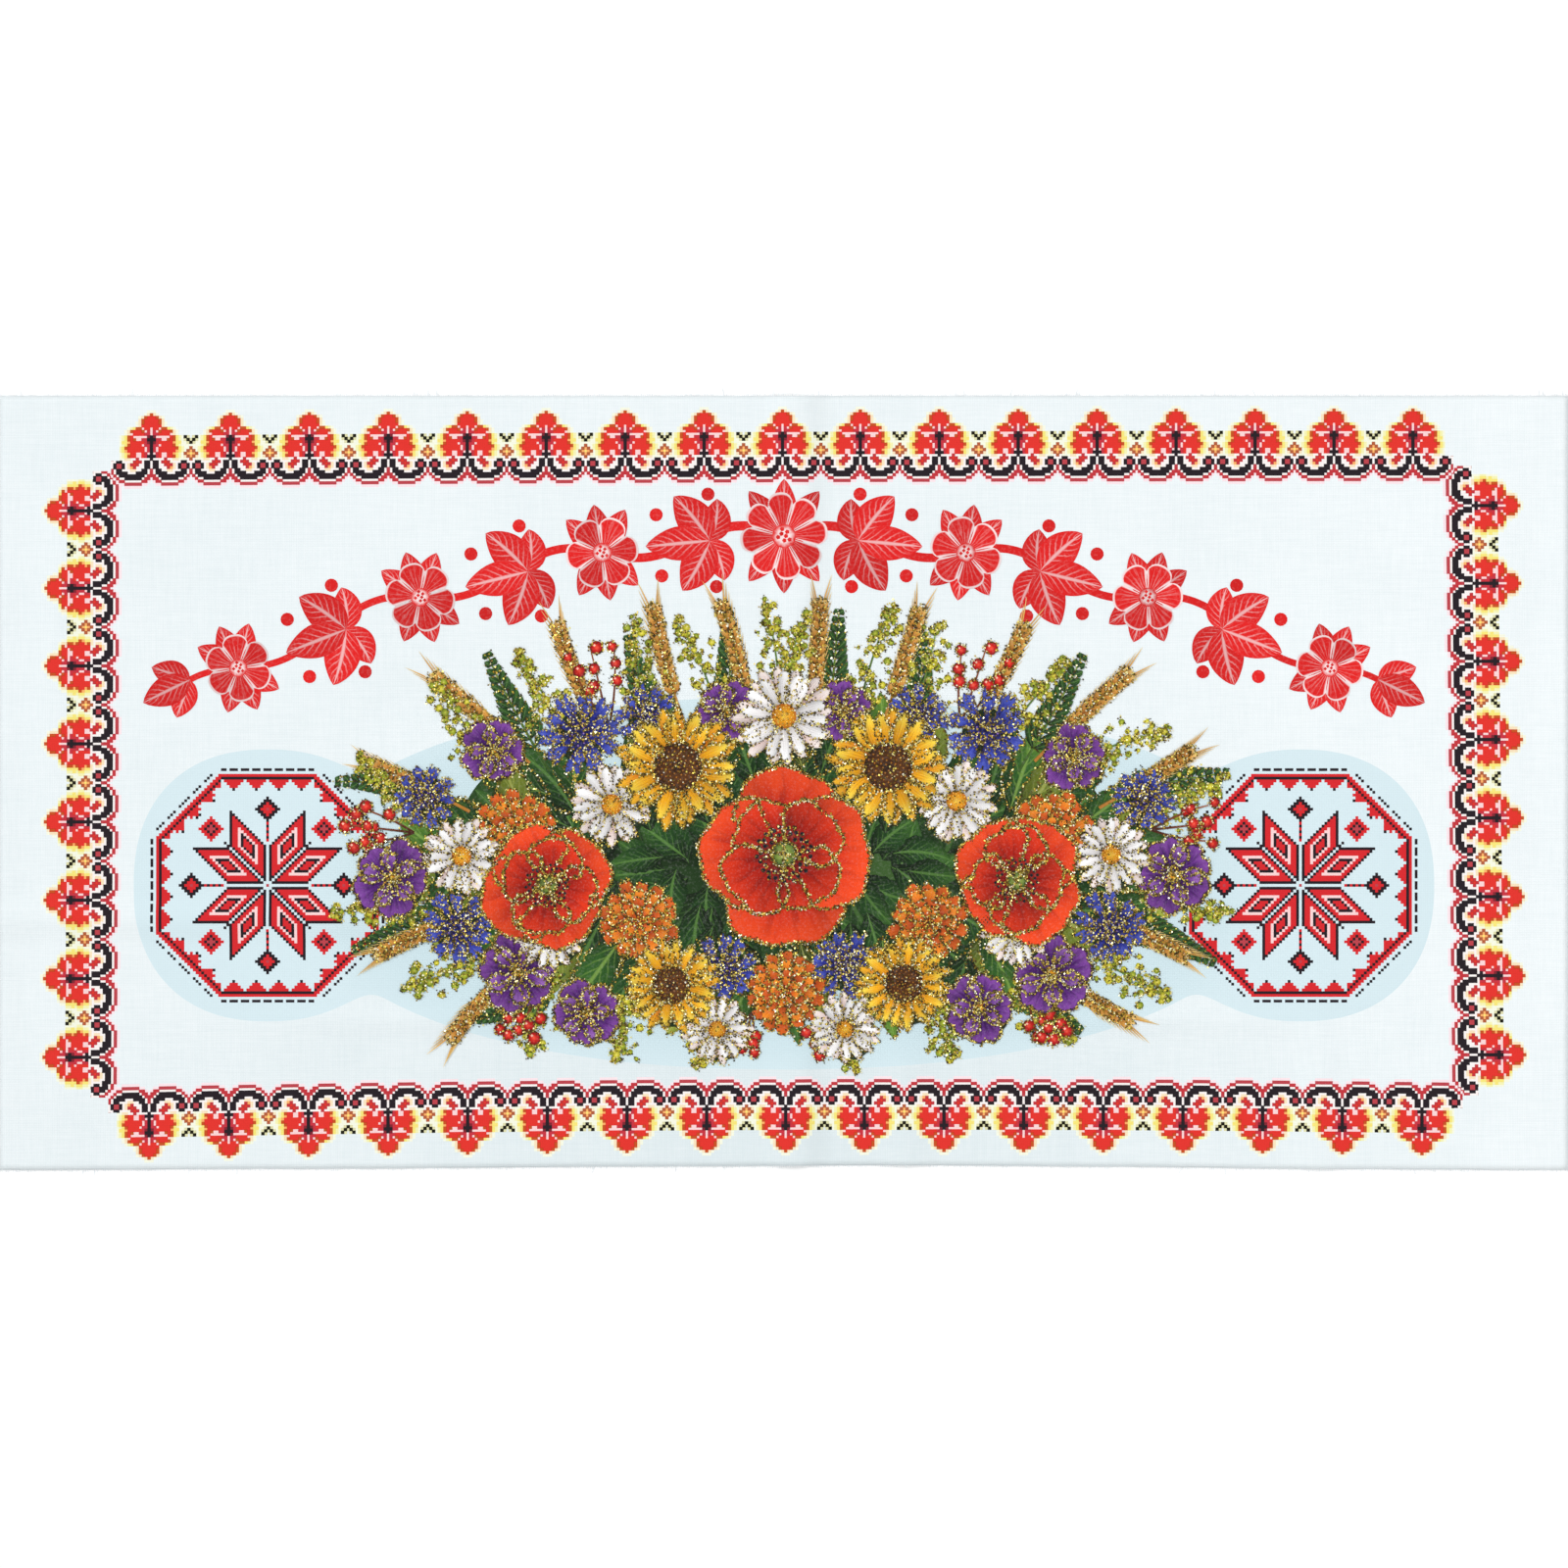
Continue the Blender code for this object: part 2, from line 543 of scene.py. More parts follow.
@dataclass(frozen=True)
class Chart:
    """A counted cross-stitch chart, as rows of letters, each letter one stitch."""

    name: str
    rows: tuple[str, ...]
    inks: dict[str, str]
    bare: str = "."
    most_stops: int = 32  # a colour ramp holds no more
    takes: ClassVar[tuple[str, ...]] = ("Column", "Row")
    gives: ClassVar[dict[str, str]] = {"Color": "NodeSocketColor", "Solid": "NodeSocketFloat"}

    def runs(self) -> list[list[tuple[int, str]]]:
        """Groups the chart's stitches into runs of one colour.

        Returns:
            For each row, where each run begins and its letter.
        """
        found = []
        for row in self.rows:
            starts = [at for at in range(len(row)) if at == 0 or row[at] != row[at - 1]]
            found.append([(at, row[at]) for at in starts])
        return found

    def bands(self) -> list[tuple[int, int]]:
        """Shares the rows out among colour ramps, as many rows to a ramp as its stops allow.

        Returns:
            For each ramp, its first row and the row past its last.
        """
        found = []
        first, stops = 0, 0
        for number, row in enumerate(self.runs()):
            if stops + len(row) > self.most_stops:
                found.append((first, number))
                first, stops = number, 0
            stops += len(row)
        found.append((first, len(self.rows)))
        return found

    def group(self) -> bpy.types.NodeTree:
        """Builds the chart as a node group.

        Returns:
            A group that takes a column and a row, in stitches, and gives a colour and how solid it is.
        """
        graph, entry, leave = new_group(self.name, self.takes, self.gives)
        wide = len(self.rows[0])
        stitch = [graph.add("Math", [place, 0.5], operation="ADD") for place in entry]
        column, row = [graph.add("Math", [place], operation="FLOOR") for place in stitch]
        centre = graph.add("Math", [column, 0.5], operation="ADD")
        index = graph.add("Math", [row, float(wide), centre], operation="MULTIPLY_ADD")
        colour, solid = None, None
        runs = self.runs()
        for first, last in self.bands():
            size = wide * (last - first)
            begin = -first * wide / size
            share = graph.add("Math", [index, 1.0 / size, begin], operation="MULTIPLY_ADD")
            ramp = graph.add("ValToRGB", [share]).node
            self.fill(ramp.color_ramp, runs[first:last], wide, size)
            if colour is None:
                colour, solid = ramp.outputs
                continue
            here = graph.add("Math", [row, first - 0.5], operation="GREATER_THAN")
            colour = graph.add("Mix", [here, colour, ramp.outputs[0]], data_type="RGBA")
            solid = graph.add("Mix", [here, solid, ramp.outputs[1]])
        limits = (
            (column, wide - 0.5, "LESS_THAN"),
            (row, len(self.rows) - 0.5, "LESS_THAN"),
            (row, -0.5, "GREATER_THAN"),
        )
        for place, limit, test in limits:
            inside = graph.add("Math", [place, limit], operation=test)
            solid = graph.add("Math", [solid, inside], operation="MULTIPLY")
        graph.feed(leave, [colour, solid])
        return graph.tree

    def bled(self, gain: float) -> bpy.types.NodeTree:
        """Builds the chart with each ink run a little into its paler neighbours, as a node group.

        Args:
            gain: How far the ink runs, in stitches.

        Returns:
            A group like the chart's own.
        """
        chart = self.group()
        graph, entry, leave = new_group(self.name + "_bled", self.takes, self.gives)
        colour, solid = None, None
        for shifts in ((gain, gain), (gain, -gain), (-gain, gain), (-gain, -gain)):
            places = [
                graph.add("Math", [place, shift], operation="ADD")
                for place, shift in zip(entry, shifts)
            ]
            inked = graph.add("Group", places, node_tree=chart).node.outputs
            if colour is None:
                colour, solid = inked[:2]
                continue
            colour = graph.add("VectorMath", [colour, inked[0]], operation="MINIMUM")
            solid = graph.add("Math", [solid, inked[1]], operation="MAXIMUM")
        graph.feed(leave, [colour, solid])
        return graph.tree

    def fill(
        self, ramp: bpy.types.ColorRamp, rows: list[list[tuple[int, str]]], wide: int, size: int
    ) -> None:
        """Writes rows of runs into one colour ramp.

        Args:
            ramp: The ramp, with its two first stops.
            rows: The runs of each row that it holds.
            wide: The stitches in a row.
            size: The stitches in all the rows that it holds.
        """
        ramp.interpolation = "CONSTANT"
        stops = [(number * wide + at, letter) for number, row in enumerate(rows) for at, letter in row]
        for number, (at, letter) in enumerate(stops):
            stop = ramp.elements[number] if number < 2 else ramp.elements.new(at / size)
            stop.position = at / size
            red, green, blue, _ = linear(self.inks.get(letter, "#FFFFFF"))
            stop.color = (red, green, blue, 0.0 if letter == self.bare else 1.0)


BORDER_INKS = {
    "R": "#E4322A",
    "C": "#C83240",
    "V": "#C2343C",
    "D": "#BC424B",
    "M": "#802430",
    "K": "#231A21",
    "W": "#FAD6D6",
    "E": "#FAF3F1",
    "F": "#FBE6EB",
    "T": "#C6521F",
    "O": "#FAB26A",
    "Y": "#F7E67C",
    "Q": "#F5F2B6",
    "P": "#F9E4C0",
    "L": "#F6F8E4",
    "B": "#B25C38",
    "H": "#E0DDAE",
    "G": "#171402",
}

# Half of one repeat, from the middle of its flower to the middle of the gap, the outermost row first
BORDER_ROWS = (
    "LL.............",
    "TPL............",
    "RRTPL..........",
    "RRRTP..........",
    "RRRTPL.........",
    "RRRRPL.........",
    "WRRWTTYQL......",
    "WCWTRRRTPL.....",
    "WCCRRRRWPL.....",
    "KMWWWWWRTYQLGH.",
    "KKCCWWTRTYQLHGH",
    "KMCRRRRROYYLLHG",
    "KCCWRRRRTYQLLLL",
    "KCWRRRRRRTYQLLB",
    "KCWRRRRRROYQLBO",
    "KWCRWWRROYQLBOY",
    "KKCRWWRRTYQLPBO",
    "KEEEEVEEPPLLLEB",
    "EKKEVRVLEEEKKEE",
    "EKKEEVRVPEKDDKE",
    "EKKEEEVOPEKDDKE",
    "DEKKEEPPEEEKKED",
    "VEKKKKEEEKKKKEV",
    "VVEKKKKKKKKKEVF",
    "FVVEKKKKKKEEVF.",
    ".FVVEEEEEEVVF..",
    "..FFDDDDDDFF...",
    "....FFFFFF.....",
)


@dataclass(frozen=True)
class BorderBand:
    """One side of the printed border. The print lies slightly askew on the cloth, as printed cloth does."""

    flowers: int
    middle: float  # where the band's middle lies along it
    pitch: float  # from flower to flower
    line: float  # how far from the cloth's middle the innermost row lies
    lean: float  # how much further it lies for each metre along
    bulge: float  # and for each square metre
    row: float  # from row to row
    outward: float  # 1 or -1, the side it faces
    taken_up: float = 0.0  # the middle fold of the cloth swallows twice this length of the band
    sway: float = 0.0  # how much the print is drawn to the band's upper end, for each square metre
    repeat: int = 28  # stitches from flower to flower
    outer_rows: float = 9.5  # rows beyond this one hold the small ornament between two flowers
    outer_short: float = 3.0  # and end this many stitches sooner, so that no half ornament is printed
    spare: float = 0.35  # stitches that the last ink may run over, short of where the next would begin

    def draw(self, graph: Graph, along: Socket, across: Socket) -> list[Socket]:
        """Works out which stitch of the chart lies at each place.

        Args:
            graph: The material's graph.
            along: The place along the band.
            across: The place across it, from the cloth's middle.

        Returns:
            The chart's column, its row, and whether the place is on the band.
        """
        half = self.repeat / 2
        stitch = self.pitch / self.repeat
        fold = FOLDS[0]
        feet = (fold.at - fold.reach, fold.at + fold.reach)
        gathered = graph.add("MapRange", [along, *feet, -self.taken_up, self.taken_up], **SMOOTH)
        swayed = graph.add("Math", [along, self.sway, 1.0], operation="MULTIPLY_ADD")
        printed = graph.add("Math", [along, swayed, gathered], operation="MULTIPLY_ADD")
        counted = graph.add(
            "Math", [printed, 1.0 / stitch, -self.middle / stitch], operation="MULTIPLY_ADD"
        )
        shift = half if self.flowers % 2 == 0 else 0.0
        shifted = graph.add("Math", [counted, shift], operation="ADD")
        column = graph.add("Math", [shifted, half], operation="PINGPONG")
        bulged = graph.add("Math", [along, self.bulge, self.lean], operation="MULTIPLY_ADD")
        line = graph.add("Math", [along, bulged, self.line], operation="MULTIPLY_ADD")
        beyond = graph.add("Math", [across, line], operation="SUBTRACT")
        row = graph.add("Math", [beyond, self.outward / self.row], operation="MULTIPLY")
        end = self.flowers * half + self.spare
        outer = graph.add("Math", [row, self.outer_rows], operation="GREATER_THAN")
        reach = graph.add("Math", [outer, -self.outer_short, end], operation="MULTIPLY_ADD")
        out = graph.add("Math", [counted], operation="ABSOLUTE")
        on_band = graph.add("Math", [out, reach], operation="LESS_THAN")
        return [column, row, on_band]


TOP = BorderBand(
    flowers=17, middle=-0.00086, pitch=0.03776, line=0.143275, lean=0.0037, bulge=-0.006,
    row=0.001326, outward=1.0, taken_up=0.0004,
)
BOTTOM = BorderBand(
    flowers=17, middle=0.00072, pitch=0.03810, line=-0.141165, lean=0.0035, bulge=-0.027,
    row=0.001335, outward=-1.0, taken_up=0.0004,
)
LEFT = BorderBand(
    flowers=8, middle=0.00005, pitch=0.03734, line=-0.317760, lean=0.0035, bulge=-0.0175,
    row=0.001358, outward=-1.0, sway=0.034,
)
RIGHT = BorderBand(
    flowers=8, middle=0.00203, pitch=0.03753, line=0.317540, lean=-0.0110, bulge=0.0,
    row=0.001358, outward=1.0, sway=0.041,
)


@dataclass(frozen=True)
class Star:
    """An eight-pointed stitched star in a ring of small points, a very old pattern."""

    arm: int = 13  # stitches across half an arm
    ring: int = 38  # stitches from the middle to the solid line of the ring
    cut: int = 16  # how far the ring's corners are cut off
    stitch: float = 0.00135
    x: float = 0.247
    y: float = -0.049
    red: str = "#D8262C"

    def letter(self, out: int, off: int) -> str:
        """Gives one stitch's letter.

        Args:
            out: Stitches from the middle, along the nearer axis.
            off: Stitches off that axis, never more than out.

        Returns:
            The letter in the chart.
        """
        return self.ring_letter(out, off) or self.star_letter(out, off) or "."

    def ring_letter(self, out: int, off: int) -> str:
        """Gives a stitch's letter if it lies in the ring, or nothing.

        Args:
            out: Stitches from the middle, along the nearer axis.
            off: Stitches off that axis, never more than out.

        Returns:
            The letter, or an empty text.
        """
        straight = self.ring - out
        slanted = self.ring + self.cut - out - off
        inward = min(straight, slanted)
        if inward == 0:
            return "K"
        if straight <= slanted:
            if inward == -1:
                return "R"
            if inward == -3 and (off + 1) % 4 < 3 and off <= self.cut:
                return "K"
            if 1 <= inward <= 4 and abs(off % 8 - 4) < 5 - inward:
                return "K" if inward == 4 else "R"
            return ""
        if inward in (-1, -2):
            return "R"
        if inward == -5 and (out - off + 1) % 8 < 6 and out <= self.ring + 2:
            return "K"
        if 1 <= inward <= 5 and 2 * abs(((out - off) // 2 + 2) % 5 - 2) < 6 - inward:
            return "K" if inward == 5 else "R"
        return ""

    def star_letter(self, out: int, off: int) -> str:
        """Gives a stitch's letter if it lies in the star or one of the buds round it, or nothing.

        Args:
            out: Stitches from the middle, along the nearer axis.
            off: Stitches off that axis, never more than out.

        Returns:
            The letter, or an empty text.
        """
        arm = self.arm
        if 1 <= off <= min(out - 1, arm) and out - off <= arm:
            depth = min(off - 1, arm - off, out - off - 1, arm - out + off)
            return "KRRWKRR"[depth]
        bud = abs(out - arm - 14) + off
        if bud <= 4:
            return "DRRKK"[bud]
        if off == 0 and arm + 2 < out < arm + 10:
            return "K" if out % 2 else "R"
        corner = abs(out - arm - 7) + abs(off - arm - 7)
        if corner <= 4:
            return "DDKRR"[corner]
        if out == off and arm < out < arm + 3:
            return "K"
        return "D" if out == 0 else ""

    def chart(self) -> Chart:
        """Gives an eighth of the star as a chart, which its mirrors complete.

        Returns:
            The chart.
        """
        wide = self.ring + 5
        high = round(wide * 0.75)
        rows = tuple("".join(self.letter(out, off) for out in range(wide)) for off in range(high))
        return Chart("star_chart", rows, {**BORDER_INKS, "R": self.red})

    def draw(self, graph: Graph, x: Socket, y: Socket) -> list[Socket]:
        """Works out which stitch of the star's chart lies at each place, on either star.

        Args:
            graph: The material's nodes.
            x: Metres to the right of the cloth's middle.
            y: Metres above it.

        Returns:
            The stitch's column and row in the chart.
        """
        side = graph.add("Math", [x], operation="ABSOLUTE")
        folded = []
        for place, centre in ((side, self.x), (y, self.y)):
            begin = -centre / self.stitch
            counted = graph.add("Math", [place, 1.0 / self.stitch, begin], operation="MULTIPLY_ADD")
            whole = graph.add("Math", [counted, 1.0], operation="ROUND")
            folded.append(graph.add("Math", [whole], operation="ABSOLUTE"))
        out = graph.add("Math", folded, operation="MAXIMUM")
        off = graph.add("Math", folded, operation="MINIMUM")
        return [out, off]


# The pale blue ground behind the flowers


class Ellipse(NamedTuple):
    """One rounded part of the ground. A part off the middle is mirrored."""

    x: float
    y: float
    half_wide: float
    half_high: float
    roundness: float  # 2 is an ellipse, and more is squarer


GROUND = (
    Ellipse(0.000, -0.048, 0.232, 0.089, 2.2),
    Ellipse(0.247, -0.049, 0.064, 0.065, 2.3),
)


@dataclass(frozen=True)
class PrintedCotton:
    """Plain-weave cotton, bleached, with a reactive print.

    To the eye it is a cool matt white with faint threads, and its inks are as matt as the cloth.
    """

    white: str = "#F5FBFD"
    shaded: str = "#DFEAED"
    cloud_scale: float = 14.0  # for each metre
    cloud_from: float = 0.45  # this much of clouds and threads together
    cloud_to: float = 1.05
    least_white: float = 0.27  # makes the cloth this white
    most_white: float = 0.87
    painted_light_from: float = 0.02  # painted light: the cloth is drawn whiter along X, from here
    painted_light_to: float = 0.37  # to here
    painted_light_by: float = 0.22
    painted_shade_x: float = 0.02  # the middle of a soft darker spot of painted shade
    painted_shade_y: float = -0.155
    painted_shade_wide: float = 0.38
    painted_shade_high: float = 0.10
    painted_shade_by: float = 0.62
    thread_shade: float = 0.955  # how light the cloth is between its threads
    ground: str = "#D8EBF1"
    ground_shade: str = "#BFD9E0"
    fillet: float = 0.45  # how softly the ground's parts run together
    bleed: float = 0.12  # how far the border's inks run into their paler neighbours, in stitches
    roughness: float = 0.88
    specular: float = 0.25
    weave: Weave = field(default_factory=Weave)

    def make(self) -> bpy.types.Material:
        """Builds the cloth's own material, with its border, ground and stars.

        Returns:
            The material.
        """
        material, graph = new_material("printed_cotton")
        height, tone = self.weave.draw(graph)
        place = graph.add("TexCoord", out=3)
        x, y, _ = graph.add("SeparateXYZ", [place]).node.outputs
        white = self.bare_cloth(graph, place, tone)
        colour = self.tinted_ground(graph, place, white)
        colour = self.stars(graph, x, y, colour)
        colour = self.border(graph, x, y, colour)
        threads = graph.add("MapRange", [height, 0.0, 1.0, self.thread_shade, 1.0])
        upward = graph.add("NewGeometry", out=1)
        facing = graph.add("SeparateXYZ", [upward], out=2)
        printed = graph.add("Math", [facing, 0.0], operation="GREATER_THAN")
        colour = graph.add("Mix", [printed, white, colour], data_type="RGBA")
        colour = graph.add("VectorMath", [colour, threads], operation="SCALE")
        graph.shade({
            "Base Color": colour,
            "Normal": self.weave.relief(graph, height, tone),
            "Roughness": self.roughness,
            "Specular IOR Level": self.specular,
        })
        return material

    def bare_cloth(self, graph: Graph, place: Socket, tone: Socket) -> Socket:
        """Draws the white cloth: thread by thread a little lighter or darker, and slightly cloudy.

        Painted light whitens it a little towards its right end, and painted shade dulls its lower edge's
        middle.

        Args:
            graph: The material's nodes.
            place: Where on the cloth.
            tone: How light each thread is.

        Returns:
            Its colour.
        """
        cloudy = graph.add("TexNoise", [place, self.cloud_scale, 3.0, 0.6])
        mixed = graph.add("Math", [cloudy, 0.5, tone], operation="MULTIPLY_ADD")
        clouds = [self.cloud_from, self.cloud_to, self.least_white, self.most_white]
        share = graph.add("MapRange", [mixed, *clouds])
        x = graph.add("SeparateXYZ", [place], out=0)
        # Painted light: the cloth is drawn a little whiter towards its right end.
        whiter = [x, self.painted_light_from, self.painted_light_to, 0.0, self.painted_light_by]
        painted_light_share = graph.add("MapRange", whiter, **SMOOTH)
        share = graph.add("Math", [share, painted_light_share], operation="ADD")
        # Painted shade: a soft darker spot along the middle of the lower edge.
        centre = (-self.painted_shade_x / self.painted_shade_wide, -self.painted_shade_y / self.painted_shade_high, 0.0)
        size = (1 / self.painted_shade_wide, 1 / self.painted_shade_high, 0.0)
        spot = graph.add("Mapping", [place, centre, None, size])
        dull = graph.add("TexGradient", [spot], out=1, gradient_type="SPHERICAL")
        share = graph.add("Math", [dull, -self.painted_shade_by, share], operation="MULTIPLY_ADD")
        tones = [linear(self.shaded), linear(self.white)]
        return graph.add("Mix", [share, *tones], data_type="RGBA")

    def tinted_ground(self, graph: Graph, place: Socket, under: Socket) -> Socket:
        """Draws the pale blue ground over the white, deeper towards its middle.

        Args:
            graph: The material's nodes.
            place: Where on the cloth.
            under: The colour that it lies on.

        Returns:
            The colour with it.
        """
        mirrored = graph.add("VectorMath", [place], operation="ABSOLUTE")
        side = graph.add("SeparateXYZ", [mirrored], out=0)
        up = graph.add("SeparateXYZ", [place], out=1)
        nearest, depth = None, None
        for part in GROUND:
            shares = []
            for at, centre, half in ((side, part.x, part.half_wide), (up, part.y, part.half_high)):
                off = graph.add("Math", [at, 1.0 / half, -centre / half], operation="MULTIPLY_ADD")
                size = graph.add("Math", [off], operation="ABSOLUTE")
                shares.append(graph.add("Math", [size, part.roundness], operation="POWER"))
            far = graph.add("Math", shares, operation="ADD")
            if nearest is None:
                nearest, depth = far, far
                continue
            nearest = graph.add("Math", [nearest, far, self.fillet], operation="SMOOTH_MIN")
        inside = graph.add("Math", [nearest, 1.0], operation="LESS_THAN")
        share = graph.add("MapRange", [depth, 0.0, 1.1, 1.0, 0.0])
        tints = [linear(self.ground), linear(self.ground_shade)]
        tint = graph.add("Mix", [share, *tints], data_type="RGBA")
        return graph.add("Mix", [inside, under, tint], data_type="RGBA")

    def stars(self, graph: Graph, x: Socket, y: Socket, under: Socket) -> Socket:
        """Draws the two stitched stars over the ground.

        Args:
            graph: The material's nodes.
            x: Metres to the right of the cloth's middle.
            y: Metres above it.
            under: The colour that they lie on.

        Returns:
            The colour with them.
        """
        star = Star()
        places = star.draw(graph, x, y)
        ink, solid = graph.add("Group", places, node_tree=star.chart().group()).node.outputs[:2]
        return graph.add("Mix", [solid, under, ink], data_type="RGBA")

    def border(self, graph: Graph, x: Socket, y: Socket, under: Socket) -> Socket:
        """Draws the border's four bands, the two short ones first.

        Args:
            graph: The material's nodes.
            x: Metres to the right of the cloth's middle.
            y: Metres above it.
            under: The colour that it lies on.

        Returns:
            The colour with it.
        """
        chart = Chart("border_chart", tuple(reversed(BORDER_ROWS)), BORDER_INKS).bled(self.bleed)
        pairs = ((LEFT, RIGHT, y, x), (BOTTOM, TOP, x, y))
        colour = under
        for low, high, along, across in pairs:
            far_side = graph.add("Math", [across, 0.0], operation="GREATER_THAN")
            both = zip(low.draw(graph, along, across), high.draw(graph, along, across))
            *places, on_band = [graph.add("Mix", [far_side, *pair]) for pair in both]
            ink, solid = graph.add("Group", places, node_tree=chart).node.outputs[:2]
            solid = graph.add("Math", [solid, on_band], operation="MULTIPLY")
            colour = graph.add("Mix", [solid, colour, ink], data_type="RGBA")
        return colour


@dataclass(frozen=True)
class LooseYarn:
    """The bare cotton yarn of the cut edges, bleached like the cloth.

    To the eye it is a little fuzzier and duller than the cloth, in flecks about a millimetre long.
    """

    light: str = "#F2F8FA"
    dull: str = "#D5DEE2"
    fleck_scale: float = 900.0  # for each metre
    roughness: float = 0.95

    def make(self) -> bpy.types.Material:
        """Builds the yarn's material.

        Returns:
            The material.
        """
        material, graph = new_material("bare_cotton_yarn")
        place = graph.add("TexCoord", out=3)
        uneven = graph.add("TexNoise", [place, self.fleck_scale, 1.0, 0.5])
        share = graph.add("MapRange", [uneven, 0.3, 0.7])
        tones = [linear(self.dull), linear(self.light)]
        colour = graph.add("Mix", [share, *tones], data_type="RGBA")
        graph.shade({"Base Color": colour, "Roughness": self.roughness})
        return material


@dataclass
class ClothPanel:
    """The panel itself and its raw cut edges."""

    laid: LaidCloth
    cell: float = 0.003
    yarn_radius: float = 0.00017
    yarn_pitch: float = 0.00105
    shortest_end: float = 0.0004
    longest_end: float = 0.0014
    long_share: float = 0.03  # of the ends are long loose threads
    longer: tuple[float, float] = (2.0, 3.4)  # how many times as long those are
    rooted: float = 0.0005  # how far each end starts inside the cloth
    stray: float = 0.3  # how far they turn aside, in radians
    lowest_tip: float = -0.00015  # against the middle of the cloth
    highest_tip: float = 0.00003
    steepest: float = 0.05
    seed: int = 7

    def build(self) -> list[bpy.types.Object]:
        """Builds the sheet and the yarn ends of its edges, and returns them."""
        return [self.sheet(PrintedCotton().make()), self.cut_ends(LooseYarn().make())]

    def sheet(self, material: bpy.types.Material) -> bpy.types.Object:
        """Builds the cloth as one thin closed sheet on its folds.

        Args:
            material: The printed cotton.

        Returns:
            The sheet's object.
        """
        laid = self.laid
        shape = bmesh.new()
        cells_long = round(laid.length / self.cell)
        cells_wide = round(laid.width / self.cell)
        bmesh.ops.create_grid(shape, x_segments=cells_long, y_segments=cells_wide, size=0.5)
        bmesh.ops.scale(shape, vec=(laid.length, laid.width, 1.0), verts=shape.verts[:])
        grid = Template.of(shape)
        x, y = grid.points[:, 0], grid.points[:, 1]
        y = y + laid.edge_inset(x) * eased(-2.0 * y / laid.width)  # only the lower half is bowed
        points = np.stack([x, y, laid.underside(x, y)], axis=1)
        mesh = joined_mesh("cotton_panel", points, grid.faces)
        mesh.shade_smooth()
        piece = on_cloth("cotton_panel", mesh, material)
        thickness = piece.modifiers.new("thickness", "SOLIDIFY")
        thickness.thickness = laid.thickness
        thickness.offset = 1.0
        return piece

    def cut_ends(self, material: bpy.types.Material) -> bpy.types.Object:
        """Builds the short ends of yarn that stand out all round a raw cut edge.

        Args:
            material: The bare yarn.

        Returns:
            One object that holds them all.
        """
        laid = self.laid
        rng = np.random.default_rng(self.seed)
        half_long, half_wide = laid.length / 2, laid.width / 2
        along = np.arange(-half_long, half_long, self.yarn_pitch)
        up = np.arange(-half_wide, half_wide, self.yarn_pitch)
        sides = (
            (along, laid.edge_inset(along) - half_wide, -0.5 * math.pi),
            (along, half_wide, 0.5 * math.pi),
            (-half_long, up, math.pi),
            (half_long, up, 0.0),
        )
        x, y, facing = np.hstack([np.stack(np.broadcast_arrays(*side)) for side in sides])
        count = len(x)
        turn = facing + rng.normal(0.0, self.stray, count)
        reach = rng.uniform(self.shortest_end, self.longest_end, count)
        is_long = rng.random(count) < self.long_share
        reach *= np.where(is_long, rng.uniform(*self.longer, count), 1.0)
        tip = rng.uniform(self.lowest_tip, self.highest_tip, count)
        droop = np.minimum(tip / reach, self.steepest)
        out = np.stack([np.cos(turn), np.sin(turn), droop], axis=1)
        aside = np.stack([-np.sin(turn), np.cos(turn), np.zeros(count)], axis=1)
        upward = np.tile([0.0, 0.0, 1.0], (count, 1))
        axes = np.stack([aside, upward, out], axis=1)
        thick = np.full(count, self.yarn_radius)
        axes *= np.stack([thick, thick, reach + self.rooted], axis=1)[:, :, None]
        middle = laid.underside(x, y) + laid.thickness / 2
        places = np.stack([x, y, middle], axis=1) - self.rooted * out
        points, faces = repeated(Template.thread(), places, axes)
        points[:, 2] = np.maximum(points[:, 2], laid.clear_of_table)
        mesh = joined_mesh("cut_yarn_ends", points, faces)
        return on_cloth("cut_yarn_ends", mesh, material)


# Printed shapes


class Veins(Enum):
    """How the veins of a printed shape run."""

    RAYS = 0.0  # from its root to its rim
    FEATHER = 1.0  # off both sides of a midrib


@dataclass(frozen=True)
class Ink:
    """The colours of one kind of petal or leaf, from its root to its rim."""

    root: str
    body: str
    rim: str
    vein: str
    veins: Veins = Veins.RAYS
    strength: float = 0.0  # how plainly the veins show
    relief: float = 0.5  # how far its sides are shaded, as if it were round
    edge: float = 0.0  # how plainly its edge is lined in the vein's colour


@dataclass(frozen=True)
class Patch:
    """One printed shape, with sizes in millimetres and angles in degrees.

    A place on it is s, from 0 at its root to 1 at its far end, and t, from -1 to 1 across it.
    """

    ink: Ink
    sparkle: float = field(default=0.0, kw_only=True)  # flakes of glitter to a millimetre of its edge
    dusted: float = field(default=0.0, kw_only=True)  # flakes to a square millimetre of its face
    tucked: float = field(default=0.0, kw_only=True)  # how much of its length, at the root, others hide

    def place(self, s: Numbers, t: Numbers) -> tuple[Numbers, Numbers]:
        """Gives where places on the shape lie on the cloth, in millimetres."""
        raise NotImplementedError

    def reach(self) -> tuple[float, float]:
        """Gives the shape's length and breadth, in millimetres."""
        raise NotImplementedError

    def grid(self, pitch: float) -> tuple[int, int]:
        """Gives how many cells of a pitch it takes along and across."""
        long, broad = self.reach()
        return max(math.ceil(long / pitch), 2), max(math.ceil(broad / pitch), 2)

    def outline(self) -> Numbers:
        """Gives points round the shape's edge, in millimetres, as one closed line.

        Returns:
            One row for each point.
        """
        up, over = np.linspace(0.0, 1.0, 24), np.linspace(-1.0, 1.0, 24)
        end = np.ones_like(up)
        s = np.concatenate([up, end, up[::-1], 0.0 * end])
        t = np.concatenate([-end, over, end, over[::-1]])
        return np.stack(self.place(s, t), axis=1)


